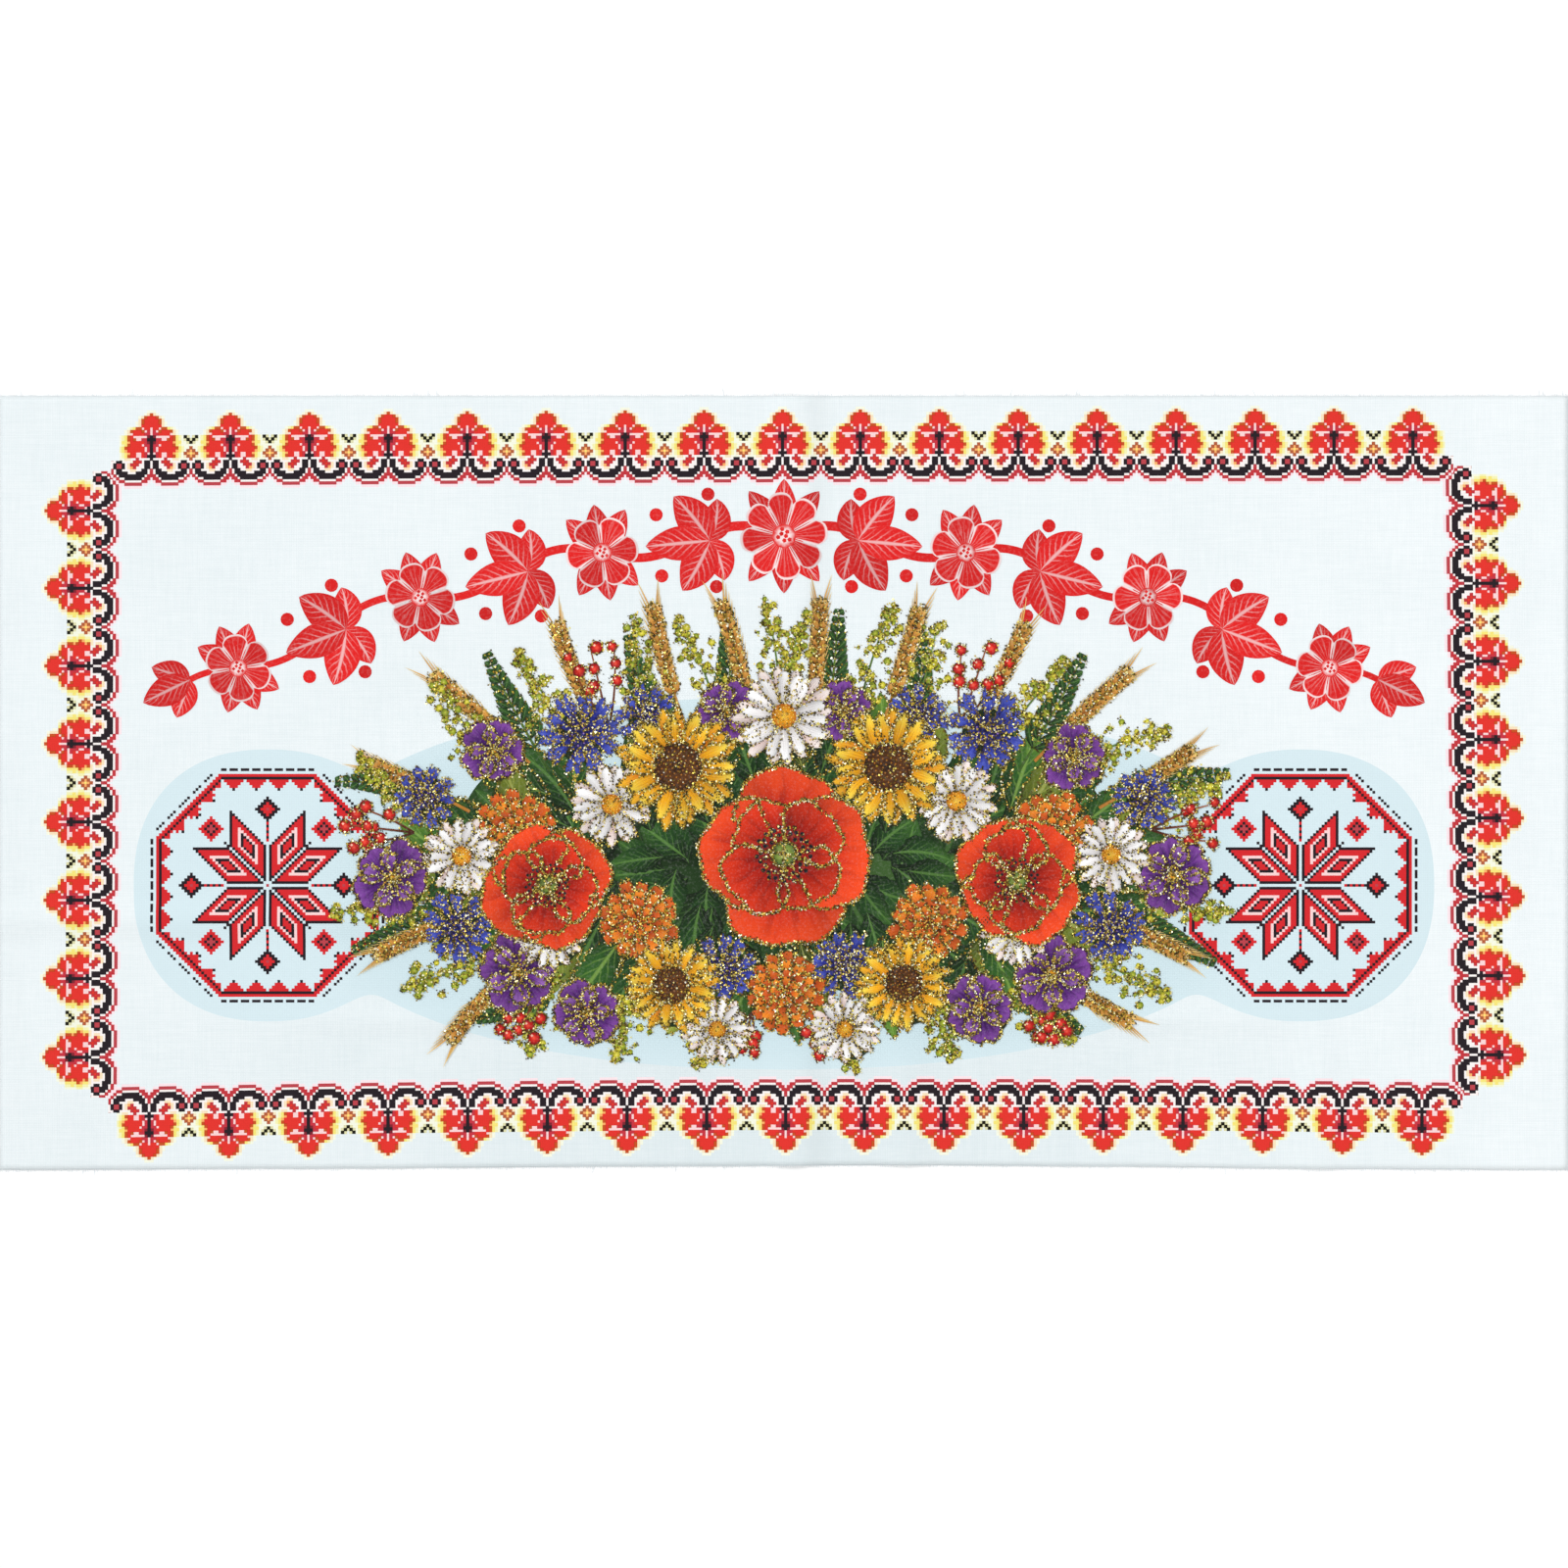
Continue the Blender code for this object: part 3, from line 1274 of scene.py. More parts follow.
@dataclass(frozen=True)
class Blade(Patch):
    """A leaf or a narrow petal, pointed or blunt."""

    x: float
    y: float
    heading: float
    length: float
    half_width: float
    bend: float = 0.0
    fullness: float = 0.8  # less is blunter
    peak: float = 1.0  # over 1 it is widest past its middle
    teeth: float = 0.0

    def place(self, s: Numbers, t: Numbers) -> tuple[Numbers, Numbers]:
        """Gives where places on it lie.

        Args:
            s: How far along it.
            t: How far across it.

        Returns:
            Their x and y, in millimetres.
        """
        way = math.radians(self.heading)
        bend = math.radians(self.bend) or 1e-6
        turned = way + bend * s
        radius = self.length / bend
        wide = self.half_width * np.clip(np.sin(np.pi * s**self.peak), 0.0, 1.0) ** self.fullness
        wide = wide * (1.0 + self.teeth * (np.abs(s * 11.0 % 2.0 - 1.0) - 0.5) * np.abs(t))
        x = self.x + radius * (np.sin(turned) - math.sin(way)) - np.sin(turned) * wide * t
        y = self.y - radius * (np.cos(turned) - math.cos(way)) + np.cos(turned) * wide * t
        return x, y

    def reach(self) -> tuple[float, float]:
        """Gives its length and breadth."""
        return self.length, 2.0 * self.half_width


@dataclass(frozen=True)
class Fan(Patch):
    """A broad petal. With a half angle of 180 it is a disc."""

    x: float
    y: float
    heading: float
    length: float
    half_angle: float
    waist: float  # how wide the angle is at the root, against its rim
    droop: float  # how much shorter it is at its sides
    notch: float = 0.0
    ruffle: float = 0.0
    phase: float = 0.0

    def place(self, s: Numbers, t: Numbers) -> tuple[Numbers, Numbers]:
        """Gives where places on it lie.

        Args:
            s: How far along it.
            t: How far across it.

        Returns:
            Their x and y, in millimetres.
        """
        spread = math.radians(self.half_angle) * t * (self.waist + (1.0 - self.waist) * s)
        turned = math.radians(self.heading) + spread
        edge = 1.0 - self.droop * np.abs(t) ** 3 - self.notch * np.exp(-((t / 0.16) ** 2))
        waves = np.sin(6.0 * t + self.phase) + 0.6 * np.sin(14.0 * t + 2.0 * self.phase)
        edge = edge + self.ruffle * waves
        far = self.length * s * (1.0 + (edge - 1.0) * s)
        return self.x + far * np.cos(turned), self.y + far * np.sin(turned)

    def reach(self) -> tuple[float, float]:
        """Gives its length and breadth."""
        return self.length, max(2.0 * math.radians(self.half_angle) * self.length, 6.0)

    def outline(self) -> Numbers:
        """Gives points round the shape's edge. A disc has only its rim.

        Returns:
            One row for each point.
        """
        if self.half_angle < 180.0:
            return super().outline()
        over = np.linspace(-1.0, 1.0, 40)
        return np.stack(self.place(np.ones(40), over), axis=1)


def disc(ink: Ink, x: float, y: float, radius: float, **finish: float) -> Fan:
    """Gives a round printed dot."""
    return Fan(ink, x, y, 0.0, radius, 180.0, waist=1.0, droop=0.0, **finish)


def toward(x: float, y: float, heading: float, far: float) -> tuple[float, float]:
    """Gives the point that lies so far from another, the way that a heading in degrees points."""
    way = math.radians(heading)
    return x + far * math.cos(way), y + far * math.sin(way)


@dataclass(frozen=True)
class Ribbon(Patch):
    """A stem: a strip along a line of points."""

    path: tuple[tuple[float, float], ...]
    half_width: float
    taper: float = 0.5

    def place(self, s: Numbers, t: Numbers) -> tuple[Numbers, Numbers]:
        """Gives where places on it lie.

        Args:
            s: How far along it.
            t: How far across it.

        Returns:
            Their x and y, in millimetres.
        """
        line = np.array(self.path)
        steps = np.arange(len(line))
        at = s * (len(line) - 1)
        slope = np.gradient(line, axis=0)
        slope /= np.maximum(np.linalg.norm(slope, axis=1, keepdims=True), 1e-9)
        wide = self.half_width * (1.0 - self.taper * s) * t
        x = np.interp(at, steps, line[:, 0]) - np.interp(at, steps, slope[:, 1]) * wide
        y = np.interp(at, steps, line[:, 1]) + np.interp(at, steps, slope[:, 0]) * wide
        return x, y

    def reach(self) -> tuple[float, float]:
        """Gives its length and breadth."""
        line = np.array(self.path)
        return float(np.linalg.norm(np.diff(line, axis=0), axis=1).sum()), 2.0 * self.half_width


@dataclass
class PrintBed:
    """The cloth's face while it is printed. It knows how many shapes deep the print is at each place.

    Each shape is a thin skin, and lies a hundredth of a millimetre over the ones that it covers.
    """

    laid: LaidCloth
    seed: int = 21
    cell_mm: float = 0.5
    pitch_mm: float = 1.6
    lift_mm: float = 0.07
    step_mm: float = 0.010
    layers: dict[str, list[tuple[Patch, int]]] = field(default_factory=dict)
    top: Numbers = field(init=False)  # how many shapes lie on each cell
    rng: np.random.Generator = field(init=False)

    def __post_init__(self) -> None:
        """Starts with nothing printed."""
        size = (self.laid.length / MM / self.cell_mm, self.laid.width / MM / self.cell_mm)
        self.top = np.zeros([math.ceil(length) + 1 for length in size], dtype=int)
        self.rng = np.random.default_rng(self.seed)

    def cells(self, x: Numbers, y: Numbers) -> tuple[Numbers, Numbers]:
        """Gives the cells that places in millimetres lie in.

        Args:
            x: The places.
            y: The same.

        Returns:
            The column and the row of each.
        """
        columns, rows = self.top.shape
        column = np.rint(np.asarray(x) / self.cell_mm + columns / 2).astype(int)
        row = np.rint(np.asarray(y) / self.cell_mm + rows / 2).astype(int)
        return np.clip(column, 0, columns - 1), np.clip(row, 0, rows - 1)

    def draw(self, piece: str, patches: Iterable[Patch]) -> None:
        """Prints shapes one after another, each over what is there.

        Args:
            piece: The piece that they belong to.
            patches: The shapes.
        """
        for patch in patches:
            along, across = patch.grid(0.8 * self.cell_mm)  # finer than the cells, so none is missed
            ways = np.linspace(patch.tucked, 1.0, along + 1), np.linspace(-1.0, 1.0, across + 1)
            s, t = np.meshgrid(*ways, indexing="ij")
            here = self.cells(*patch.place(s, t))
            level = int(self.top[here].max()) + 1
            self.top[here] = level
            self.layers.setdefault(piece, []).append((patch, level))

    def height(self, x: Numbers, y: Numbers, level: Numbers | int) -> Numbers:
        """Gives the height of a level of the print at places in metres."""
        return self.laid.face(x, y) + (self.lift_mm + self.step_mm * level) * MM

    def build(self, piece: str, material: bpy.types.Material) -> bpy.types.Object:
        """Makes one piece of the shapes that belong to it.

        Args:
            piece: The piece's name.
            material: Its ink.

        Returns:
            The piece's object.
        """
        blocks = []
        start = 0
        for patch, level in self.layers[piece]:
            template = Template.grid(*patch.grid(self.pitch_mm))
            s, t = template.points[:, 0], template.points[:, 1]
            x, y = [places * MM for places in patch.place(s, t)]
            points = np.stack([x, y, self.height(x, y, level)], axis=1)
            share = np.stack([s, 0.5 * (t + 1.0)], axis=1)
            dyes = np.tile(dye(patch.ink), (len(s), 1))
            tone = np.full(len(s), self.rng.random())
            blocks.append((points, template.faces + start, share, dyes, tone))
            start += len(s)
        points, faces, share, dyes, tone = [np.concatenate(kind) for kind in zip(*blocks)]
        mesh = joined_mesh(piece, points, faces)
        *inks, look, lined = np.split(dyes, (4, 8, 12, 16, 19), axis=1)
        carried = [(name, "FLOAT_COLOR", "color", ink) for name, ink in zip(INK_PARTS, inks)]
        carried += [
            ("look", "FLOAT_VECTOR", "vector", look),
            ("lined", "FLOAT", "value", lined),
            ("tone", "FLOAT", "value", tone),
        ]
        for name, kind, part, values in carried:
            mesh.attributes.new(name, kind, "POINT").data.foreach_set(part, values.flatten())
        corners = np.empty(len(mesh.loops), dtype=int)
        mesh.loops.foreach_get("vertex_index", corners)
        mesh.uv_layers.new(name="petal").data.foreach_set("uv", share[corners].ravel())
        shape = bmesh.new()
        shape.from_mesh(mesh)
        bmesh.ops.remove_doubles(shape, verts=shape.verts[:], dist=1e-6)
        shape.to_mesh(mesh)
        shape.free()
        mesh.shade_smooth()
        return on_cloth(piece, mesh, material)


INK_PARTS = ("ink_root", "ink_body", "ink_rim", "ink_vein")


@functools.cache
def dye(ink: Ink) -> Numbers:
    """Gives an ink as the row of numbers that its points carry."""
    colours = [linear(colour) for colour in (ink.root, ink.body, ink.rim, ink.vein)]
    return np.array([*sum(colours, ()), ink.veins.value, ink.strength, ink.relief, ink.edge])


@dataclass(frozen=True)
class PrintInk:
    """Reactive dye in the cotton.

    To the eye it is as matt as the cloth, and the weave shows in it as fine light specks.
    """

    roughness: float = 0.86
    specular: float = 0.25
    speck_mm: float = 1.15  # the real specks are half as large, too fine to show
    speck_strength: float = 0.08
    speck: str = "#F4F6F2"
    streaks: tuple[float, float, float] = (2.2, 7.0, 40.0)  # along, across and from shape to shape
    root_to_body: tuple[float, float] = (0.02, 0.50)  # where along a shape its colours change
    body_to_rim: tuple[float, float] = (0.45, 1.00)
    lined_side: tuple[float, float] = (0.80, 0.90)  # where the line of its edge begins, and is full
    lined_rim: tuple[float, float] = (0.93, 0.96)
    rays_across: float = 17.0  # veins of a petal, times two pi
    rays_sway: float = 9.0  # how far the streaks draw them aside
    rays_from: float = 0.45  # the part of their wave over this shows, so less is wider
    rays_last: float = 0.35  # they are plain as far as this
    rays_left: float = 0.15  # and this plain at the rim
    ribs_along: float = 46.0  # side veins of a leaf, times two pi
    ribs_lean: float = 15.0  # how far they slant towards its tip
    ribs_sway: float = 3.0
    ribs_from: float = 0.55
    ribs_strength: float = 0.6  # against the midrib
    ribs_fade: tuple[float, float] = (0.30, 0.95)  # towards the edge
    midrib: tuple[float, float] = (0.05, 0.13)  # half its width, and where it has faded
    darkest: float = 0.84  # how light the darkest shape is, against its ink
    lightest: float = 1.12
    slant: float = 0.22  # how much darker a shape is on one side than on the other
    round_off: float = 0.38  # and how much darker on both than along its middle
    weave: Weave = field(default_factory=Weave)

    def make(self) -> bpy.types.Material:
        """Builds the ink, which reads its colours from the points of each shape.

        Returns:
            The material.
        """
        material, graph = new_material("reactive_dye_on_cotton")
        height, tone = self.weave.draw(graph)
        spot = graph.add("UVMap", uv_map="petal")
        s, v, _ = graph.add("SeparateXYZ", [spot]).node.outputs
        t = graph.add("Math", [v, 2.0, -1.0], operation="MULTIPLY_ADD")
        side = graph.add("Math", [t], operation="ABSOLUTE")
        root, body, rim, vein = [graph.add("Attribute", attribute_name=name) for name in INK_PARTS]
        look = graph.add("Attribute", out=1, attribute_name="look")
        style, strength, relief = graph.add("SeparateXYZ", [look]).node.outputs
        chance = graph.add("Attribute", out=2, attribute_name="tone")
        grain = graph.add("CombineXYZ", [s, t, chance])
        streaks = graph.add("Mapping", [grain, None, None, self.streaks])
        streak = graph.add("TexNoise", [streaks, 1.0, 3.0, 0.6])
        drift = graph.add("Math", [streak, 0.5, -0.25], operation="MULTIPLY_ADD")
        along = graph.add("Math", [s, drift], operation="ADD")
        inner, outer = [
            graph.add("MapRange", [along, *change], **SMOOTH)
            for change in (self.root_to_body, self.body_to_rim)
        ]
        colour = graph.add("Mix", [inner, root, body], data_type="RGBA")
        colour = graph.add("Mix", [outer, colour, rim], data_type="RGBA")
        rays = self.rays(graph, t, streak, s)
        feather = self.feather(graph, s, side, streak)
        veined = graph.add("Mix", [style, rays, feather])
        veined = graph.add("Math", [veined, strength], operation="MULTIPLY")
        lined = graph.add("Attribute", out=2, attribute_name="lined")
        at_side = graph.add("MapRange", [side, *self.lined_side])
        at_rim = graph.add("MapRange", [s, *self.lined_rim])
        edge = graph.add("Math", [at_side, at_rim], operation="MAXIMUM")
        edge = graph.add("Math", [edge, lined], operation="MULTIPLY")
        veined = graph.add("Math", [veined, edge], operation="MAXIMUM")
        colour = graph.add("Mix", [veined, colour, vein], data_type="RGBA")
        colour = self.modelled(graph, colour, t, side, relief, chance)
        specks = self.specks(graph, height)
        colour = graph.add("Mix", [specks, colour, linear(self.speck)], data_type="RGBA")
        graph.shade({
            "Base Color": colour,
            "Normal": self.weave.relief(graph, height, tone),
            "Roughness": self.roughness,
            "Specular IOR Level": self.specular,
        })
        return material

    def rays(self, graph: Graph, t: Socket, streak: Socket, s: Socket) -> Socket:
        """Draws fine veins that run out from the root and fade before the rim.

        Args:
            graph: The material's nodes.
            t: From -1 to 1 across the shape.
            streak: The noise that they sway by.
            s: From 0 at its root to 1.

        Returns:
            How plainly they show.
        """
        turn = graph.add("Math", [streak, self.rays_sway], operation="MULTIPLY")
        turn = graph.add("Math", [t, self.rays_across, turn], operation="MULTIPLY_ADD")
        wave = graph.add("Math", [turn], operation="COSINE")
        line = graph.add("MapRange", [wave, self.rays_from, 1.0])
        fade = graph.add("MapRange", [s, self.rays_last, 1.0, 1.0, self.rays_left])
        return graph.add("Math", [line, fade], operation="MULTIPLY")

    def feather(self, graph: Graph, s: Socket, side: Socket, streak: Socket) -> Socket:
        """Draws a midrib and the veins that leave it on both sides.

        Args:
            graph: The material's nodes.
            s: From 0 at the shape's root to 1.
            side: From 0 at its midrib to 1 at its edge.
            streak: The noise that they sway by.

        Returns:
            How plainly they show.
        """
        rib = graph.add("MapRange", [side, *self.midrib, 1.0, 0.0])
        lean = graph.add("Math", [side, -self.ribs_lean], operation="MULTIPLY")
        turn = graph.add("Math", [s, self.ribs_along, lean], operation="MULTIPLY_ADD")
        turn = graph.add("Math", [streak, self.ribs_sway, turn], operation="MULTIPLY_ADD")
        wave = graph.add("Math", [turn], operation="COSINE")
        branch = graph.add("MapRange", [wave, self.ribs_from, 1.0, 0.0, self.ribs_strength])
        fade = graph.add("MapRange", [side, *self.ribs_fade, 1.0, 0.0])
        branch = graph.add("Math", [branch, fade], operation="MULTIPLY")
        return graph.add("Math", [rib, branch], operation="MAXIMUM")

    def modelled(
        self, graph: Graph, colour: Socket, t: Socket, side: Socket, relief: Socket, chance: Socket
    ) -> Socket:
        """Shades a shape's sides as if it were round, and makes each a little lighter or darker.

        Args:
            graph: The material's nodes.
            colour: The ink's colour.
            t: From -1 to 1 across the shape.
            side: The same without its sign.
            relief: How round the shape looks.
            chance: Each shape's own number from 0 to 1.

        Returns:
            The shaded colour.
        """
        lean = graph.add("Math", [t, self.slant], operation="MULTIPLY")
        low = graph.add("Math", [side, 2.0], operation="POWER")
        dark = graph.add("Math", [low, self.round_off, lean], operation="MULTIPLY_ADD")
        dark = graph.add("Math", [dark, relief], operation="MULTIPLY")
        bright = graph.add("MapRange", [chance, 0.0, 1.0, self.darkest, self.lightest])
        light = graph.add("Math", [bright, dark], operation="SUBTRACT")
        return graph.add("VectorMath", [colour, light], operation="SCALE")

    def specks(self, graph: Graph, height: Socket) -> Socket:
        """Draws the bare specks between the threads, where less ink was taken up.

        Args:
            graph: The material's nodes.
            height: The weave's height.

        Returns:
            How bare the cloth is.
        """
        place = graph.add("TexCoord", out=3)
        scale = 1.0 / (self.speck_mm * MM)
        pores = graph.add("TexNoise", [place, scale, 1.0, 0.5])
        open_spot = graph.add("MapRange", [pores, 0.50, 0.72])
        between = graph.add("MapRange", [height, 0.0, 1.0, 1.0, 0.35])
        both = graph.add("Math", [open_spot, between], operation="MULTIPLY")
        return graph.add("Math", [both, self.speck_strength], operation="MULTIPLY")


# Flowers

GOLDEN_ANGLE = 137.508  # from seed to seed, in degrees, as they grow


class Petal(Enum):
    """The two forms of petal."""

    NARROW = "blade"
    BROAD = "fan"


@dataclass(frozen=True)
class Ring:
    """One ring of a flower's petals. Its lengths are shares of the flower's radius."""

    petal: Petal
    count: int
    ink: Ink
    breadth: float  # a narrow petal's half width, or a broad one's half angle in degrees
    tip: float = 1.0
    root: float = 0.0
    turn: float = 0.0  # in steps from petal to petal
    fullness: float = 0.55
    peak: float = 1.3
    waist: float = 0.5
    droop: float = 0.25
    notch: float = 0.0
    ruffle: float = 0.0
    uneven: float = 0.05  # how much its petals differ in length, and so in heading and bend
    tucked: float = 0.15


@dataclass(frozen=True)
class Flower:
    """A kind of flower, seen from above."""

    piece: str
    rings: tuple[Ring, ...]
    eye: Ink
    eye_size: float
    seed: Ink
    seeds: int = 0
    seed_size: float = 0.03
    seeds_from: float = 0.0
    seeds_to: float = 0.0
    sparkle: float = 1.6
    shade: float = 0.80  # the size of the dark place under it
    fall: tuple[float, float] = (0.8, -1.6)  # and how far off its middle that lies, in millimetres

    def patches(self, x: float, y: float, radius: float, rng: np.random.Generator) -> list[Patch]:
        """Draws one flower.

        Args:
            x: Its middle, in millimetres.
            y: Its middle, in millimetres.
            radius: Its size, in millimetres.
            rng: What makes each flower a little different.

        Returns:
            Its shapes, the undermost first.
        """
        aim = rng.uniform(0.0, 360.0)
        found = []
        if self.shade:
            found.append(disc(SHADOW, x + self.fall[0], y + self.fall[1], radius * self.shade))
        for ring in self.rings:
            for number in [*range(0, ring.count, 2), *range(1, ring.count, 2)]:
                heading = aim + 360.0 * (number + ring.turn) / ring.count
                heading += rng.normal(0.0, 60.0 * ring.uneven)
                found.append(self.petal(ring, x, y, radius, heading, rng))
        if self.eye_size:
            found.append(disc(self.eye, x, y, radius * self.eye_size, sparkle=0.8 * self.sparkle))
        for number in range(self.seeds):
            share = math.sqrt((number + 0.5) / self.seeds)
            far = radius * (self.seeds_from + (self.seeds_to - self.seeds_from) * share)
            spot = toward(x, y, GOLDEN_ANGLE * number, far)
            found.append(disc(self.seed, *spot, radius * self.seed_size, dusted=0.12 * self.sparkle))
        return found

    def petal(
        self, ring: Ring, x: float, y: float, radius: float, heading: float, rng: np.random.Generator
    ) -> Patch:
        """Draws one petal of a ring.

        Args:
            ring: The ring that it belongs to.
            x: The flower's middle, in millimetres.
            y: The same.
            radius: The flower's radius.
            heading: The way that the petal points.
            rng: Where chance comes from.

        Returns:
            The petal.
        """
        root = toward(x, y, heading, radius * ring.root)
        length = radius * (ring.tip - ring.root) * (1.0 + rng.normal(0.0, ring.uneven))
        if ring.petal is Petal.NARROW:
            return Blade(
                ring.ink, *root, heading, length, radius * ring.breadth,
                bend=rng.normal(0.0, 200.0 * ring.uneven), fullness=ring.fullness, peak=ring.peak,
                sparkle=self.sparkle, tucked=ring.tucked,
            )
        return Fan(
            ring.ink, *root, heading, length, ring.breadth, waist=ring.waist, droop=ring.droop,
            notch=ring.notch, ruffle=ring.ruffle, phase=rng.uniform(0.0, 6.0), sparkle=self.sparkle,
            tucked=ring.tucked,
        )


POPPY_RED = Ink("#1A0A0E", "#C4240F", "#EE4A1E", "#74100E", strength=0.55, relief=0.8)
POPPY_DEEP = Ink("#12070A", "#A81A0A", "#D93414", "#5E0B0A", strength=0.55, relief=0.8)
BLACK_SEED = Ink("#0F0C12", "#1C1820", "#2E2A33", "#0B0A0D")
GREEN_EYE = Ink("#C9CF8A", "#7F9440", "#3F5A24", "#2C3D17", strength=0.6)
SUN_YELLOW = Ink("#A8520A", "#EEA814", "#FBDD4C", "#9A560A", strength=0.55, relief=0.7)
SUN_DEEP = Ink("#8E3E08", "#D97C0C", "#F3B92C", "#7A3A06", strength=0.55, relief=0.7)
BROWN_EYE = Ink("#2C1608", "#5B3413", "#3B1D0A", "#2C1608")
BROWN_SEED = Ink("#D08A2A", "#8A5520", "#3B1D0A", "#3B1D0A")
WHITE_PETAL = Ink("#A9A39C", "#F0ECEB", "#FFFFFF", "#948C94", strength=0.4, relief=0.7, edge=0.3)
PINK_WHITE = Ink("#A87672", "#DCC2BC", "#F8ECE6", "#9A6A66", strength=0.45, relief=0.8, edge=0.3)
ORANGE_EYE = Ink("#F7D04A", "#EFA31B", "#B9650C", "#8F4A08", strength=0.2)
ORANGE_SEED = Ink("#FCE98A", "#F3B42A", "#B9650C", "#8F4A08")
CORN_BLUE = Ink("#0F0F42", "#20268A", "#4E5CC2", "#0C0D38", strength=0.6, relief=0.7, edge=0.4)
CORN_DEEP = Ink("#110C38", "#1A1A60", "#303A96", "#0B0928", strength=0.6, relief=0.7)
LILAC_SEED = Ink("#C9A7DA", "#7E5AA8", "#3A2A70", "#3A2A70")
VIOLET = Ink("#1E082C", "#4C1A6C", "#80469E", "#22092E", strength=0.7, relief=0.6, edge=0.8)
LILAC = Ink("#300E40", "#622A86", "#9A66B6", "#2E0C40", strength=0.7, relief=0.6, edge=0.8)
MARIGOLD = Ink("#7E2606", "#D35610", "#F28E28", "#6A2206", strength=0.5, relief=0.8)
MARIGOLD_RED = Ink("#5E1606", "#AC3810", "#DA6420", "#501206", strength=0.5, relief=0.8)
LEAF_DARK = Ink("#0E200C", "#1E421A", "#386026", "#5E8840", Veins.FEATHER, 0.7, 0.9)
LEAF_GREEN = Ink("#16300F", "#2E5A22", "#5E862C", "#88AC4E", Veins.FEATHER, 0.6, 0.8)
LEAF_OLIVE = Ink("#33400F", "#6B7A26", "#9AA53A", "#C1C66A", Veins.FEATHER, 0.5, 0.6)
SHADE_GREEN = Ink("#13230F", "#1F3A18", "#2B4B20", "#4A6E34", Veins.FEATHER, 0.6, 0.7)
LIME = Ink("#C6CC4A", "#9AA62C", "#6F7F1E", "#5E6C18", relief=0.4)
LIME_YELLOW = Ink("#F0E468", "#CFC634", "#9A9A24", "#7E7E1C", relief=0.4)
STEM_GREEN = Ink("#3C5A22", "#5B7A2C", "#7F9A3A", "#3C5A22")
STRAW = Ink("#9C5A1C", "#D29440", "#F2CE80", "#8A4E16", strength=0.4, relief=0.7, edge=0.35)
STRAW_LINE = Ink("#B8792E", "#D9A04A", "#F0CE86", "#B8792E")
BERRY = Ink("#F0503A", "#C41A16", "#7A0C10", "#7A0C10", relief=0.0)
SHINE = Ink("#FFE9DC", "#FBB9A0", "#E8503C", "#E8503C", relief=0.0)
TWIG = Ink("#4A2414", "#7A3A1C", "#A0582A", "#4A2414", strength=0.2)
SHADOW = Ink("#0C160A", "#12200E", "#1A2C14", "#0C160A", relief=0.0)

POPPY = Flower(
    "poppy_print",
    (
        Ring(Petal.BROAD, 4, POPPY_RED, 62.0, 1.0, waist=0.9, droop=0.30, ruffle=0.030),
        Ring(Petal.BROAD, 4, POPPY_DEEP, 56.0, 0.74, turn=0.5, waist=0.9, droop=0.34, ruffle=0.035),
    ),
    GREEN_EYE, 0.15, BLACK_SEED, seeds=46, seeds_from=0.17, seeds_to=0.34, sparkle=3.4,
)
SUNFLOWER = Flower(
    "sunflower_print",
    (
        Ring(Petal.NARROW, 18, SUN_DEEP, 0.125, 1.0, 0.22, 0.5, fullness=0.75, peak=1.1, tucked=0.22),
        Ring(Petal.NARROW, 16, SUN_YELLOW, 0.125, 0.92, 0.22, fullness=0.7, peak=1.1, tucked=0.24),
    ),
    BROWN_EYE, 0.40, BROWN_SEED, seeds=80, seeds_to=0.38, sparkle=1.9,
)
DAISY = Flower(
    "daisy_print",
    (
        Ring(Petal.NARROW, 16, PINK_WHITE, 0.125, 1.0, 0.12, 0.5, fullness=0.42, peak=1.5),
        Ring(Petal.NARROW, 14, WHITE_PETAL, 0.125, 0.90, 0.12, fullness=0.42, peak=1.5),
    ),
    ORANGE_EYE, 0.25, ORANGE_SEED, seeds=34, seeds_to=0.23, sparkle=0.9,
)
CORNFLOWER = Flower(
    "cornflower_print",
    (
        Ring(Petal.BROAD, 10, CORN_BLUE, 17.0, 1.0, 0.12, waist=0.35, notch=0.22, ruffle=0.07),
        Ring(Petal.BROAD, 9, CORN_BLUE, 16.0, 0.78, 0.08, 0.5, waist=0.35, notch=0.2, ruffle=0.07),
        Ring(Petal.NARROW, 12, CORN_DEEP, 0.07, 0.48, 0.04, fullness=0.8),
    ),
    CORN_DEEP, 0.12, LILAC_SEED,
    seeds=16, seed_size=0.035, seeds_from=0.05, seeds_to=0.30, sparkle=0.9, shade=0.62,
)
MALLOW = Flower(
    "mallow_print",
    (
        Ring(Petal.BROAD, 5, VIOLET, 42.0, 1.0, waist=0.55, droop=0.34, notch=0.10, ruffle=0.02),
        Ring(Petal.BROAD, 5, LILAC, 26.0, 0.72, turn=0.5, waist=0.55, droop=0.4, ruffle=0.02),
    ),
    ORANGE_EYE, 0.11, ORANGE_SEED, seeds=14, seed_size=0.035, seeds_from=0.04, seeds_to=0.22, sparkle=2.6,
)
MARIGOLD_BLOOM = Flower(
    "marigold_print",
    (
        Ring(Petal.BROAD, 14, MARIGOLD_RED, 17.0, 1.0, 0.2, ruffle=0.03),
        Ring(Petal.BROAD, 12, MARIGOLD, 19.0, 0.80, 0.12, 0.5, ruffle=0.03),
        Ring(Petal.BROAD, 10, MARIGOLD_RED, 21.0, 0.58, 0.05, ruffle=0.03),
        Ring(Petal.BROAD, 8, MARIGOLD, 26.0, 0.38, 0.0, 0.5),
    ),
    MARIGOLD_RED, 0.0, ORANGE_SEED, seeds=10, seeds_to=0.12, sparkle=1.2,
)


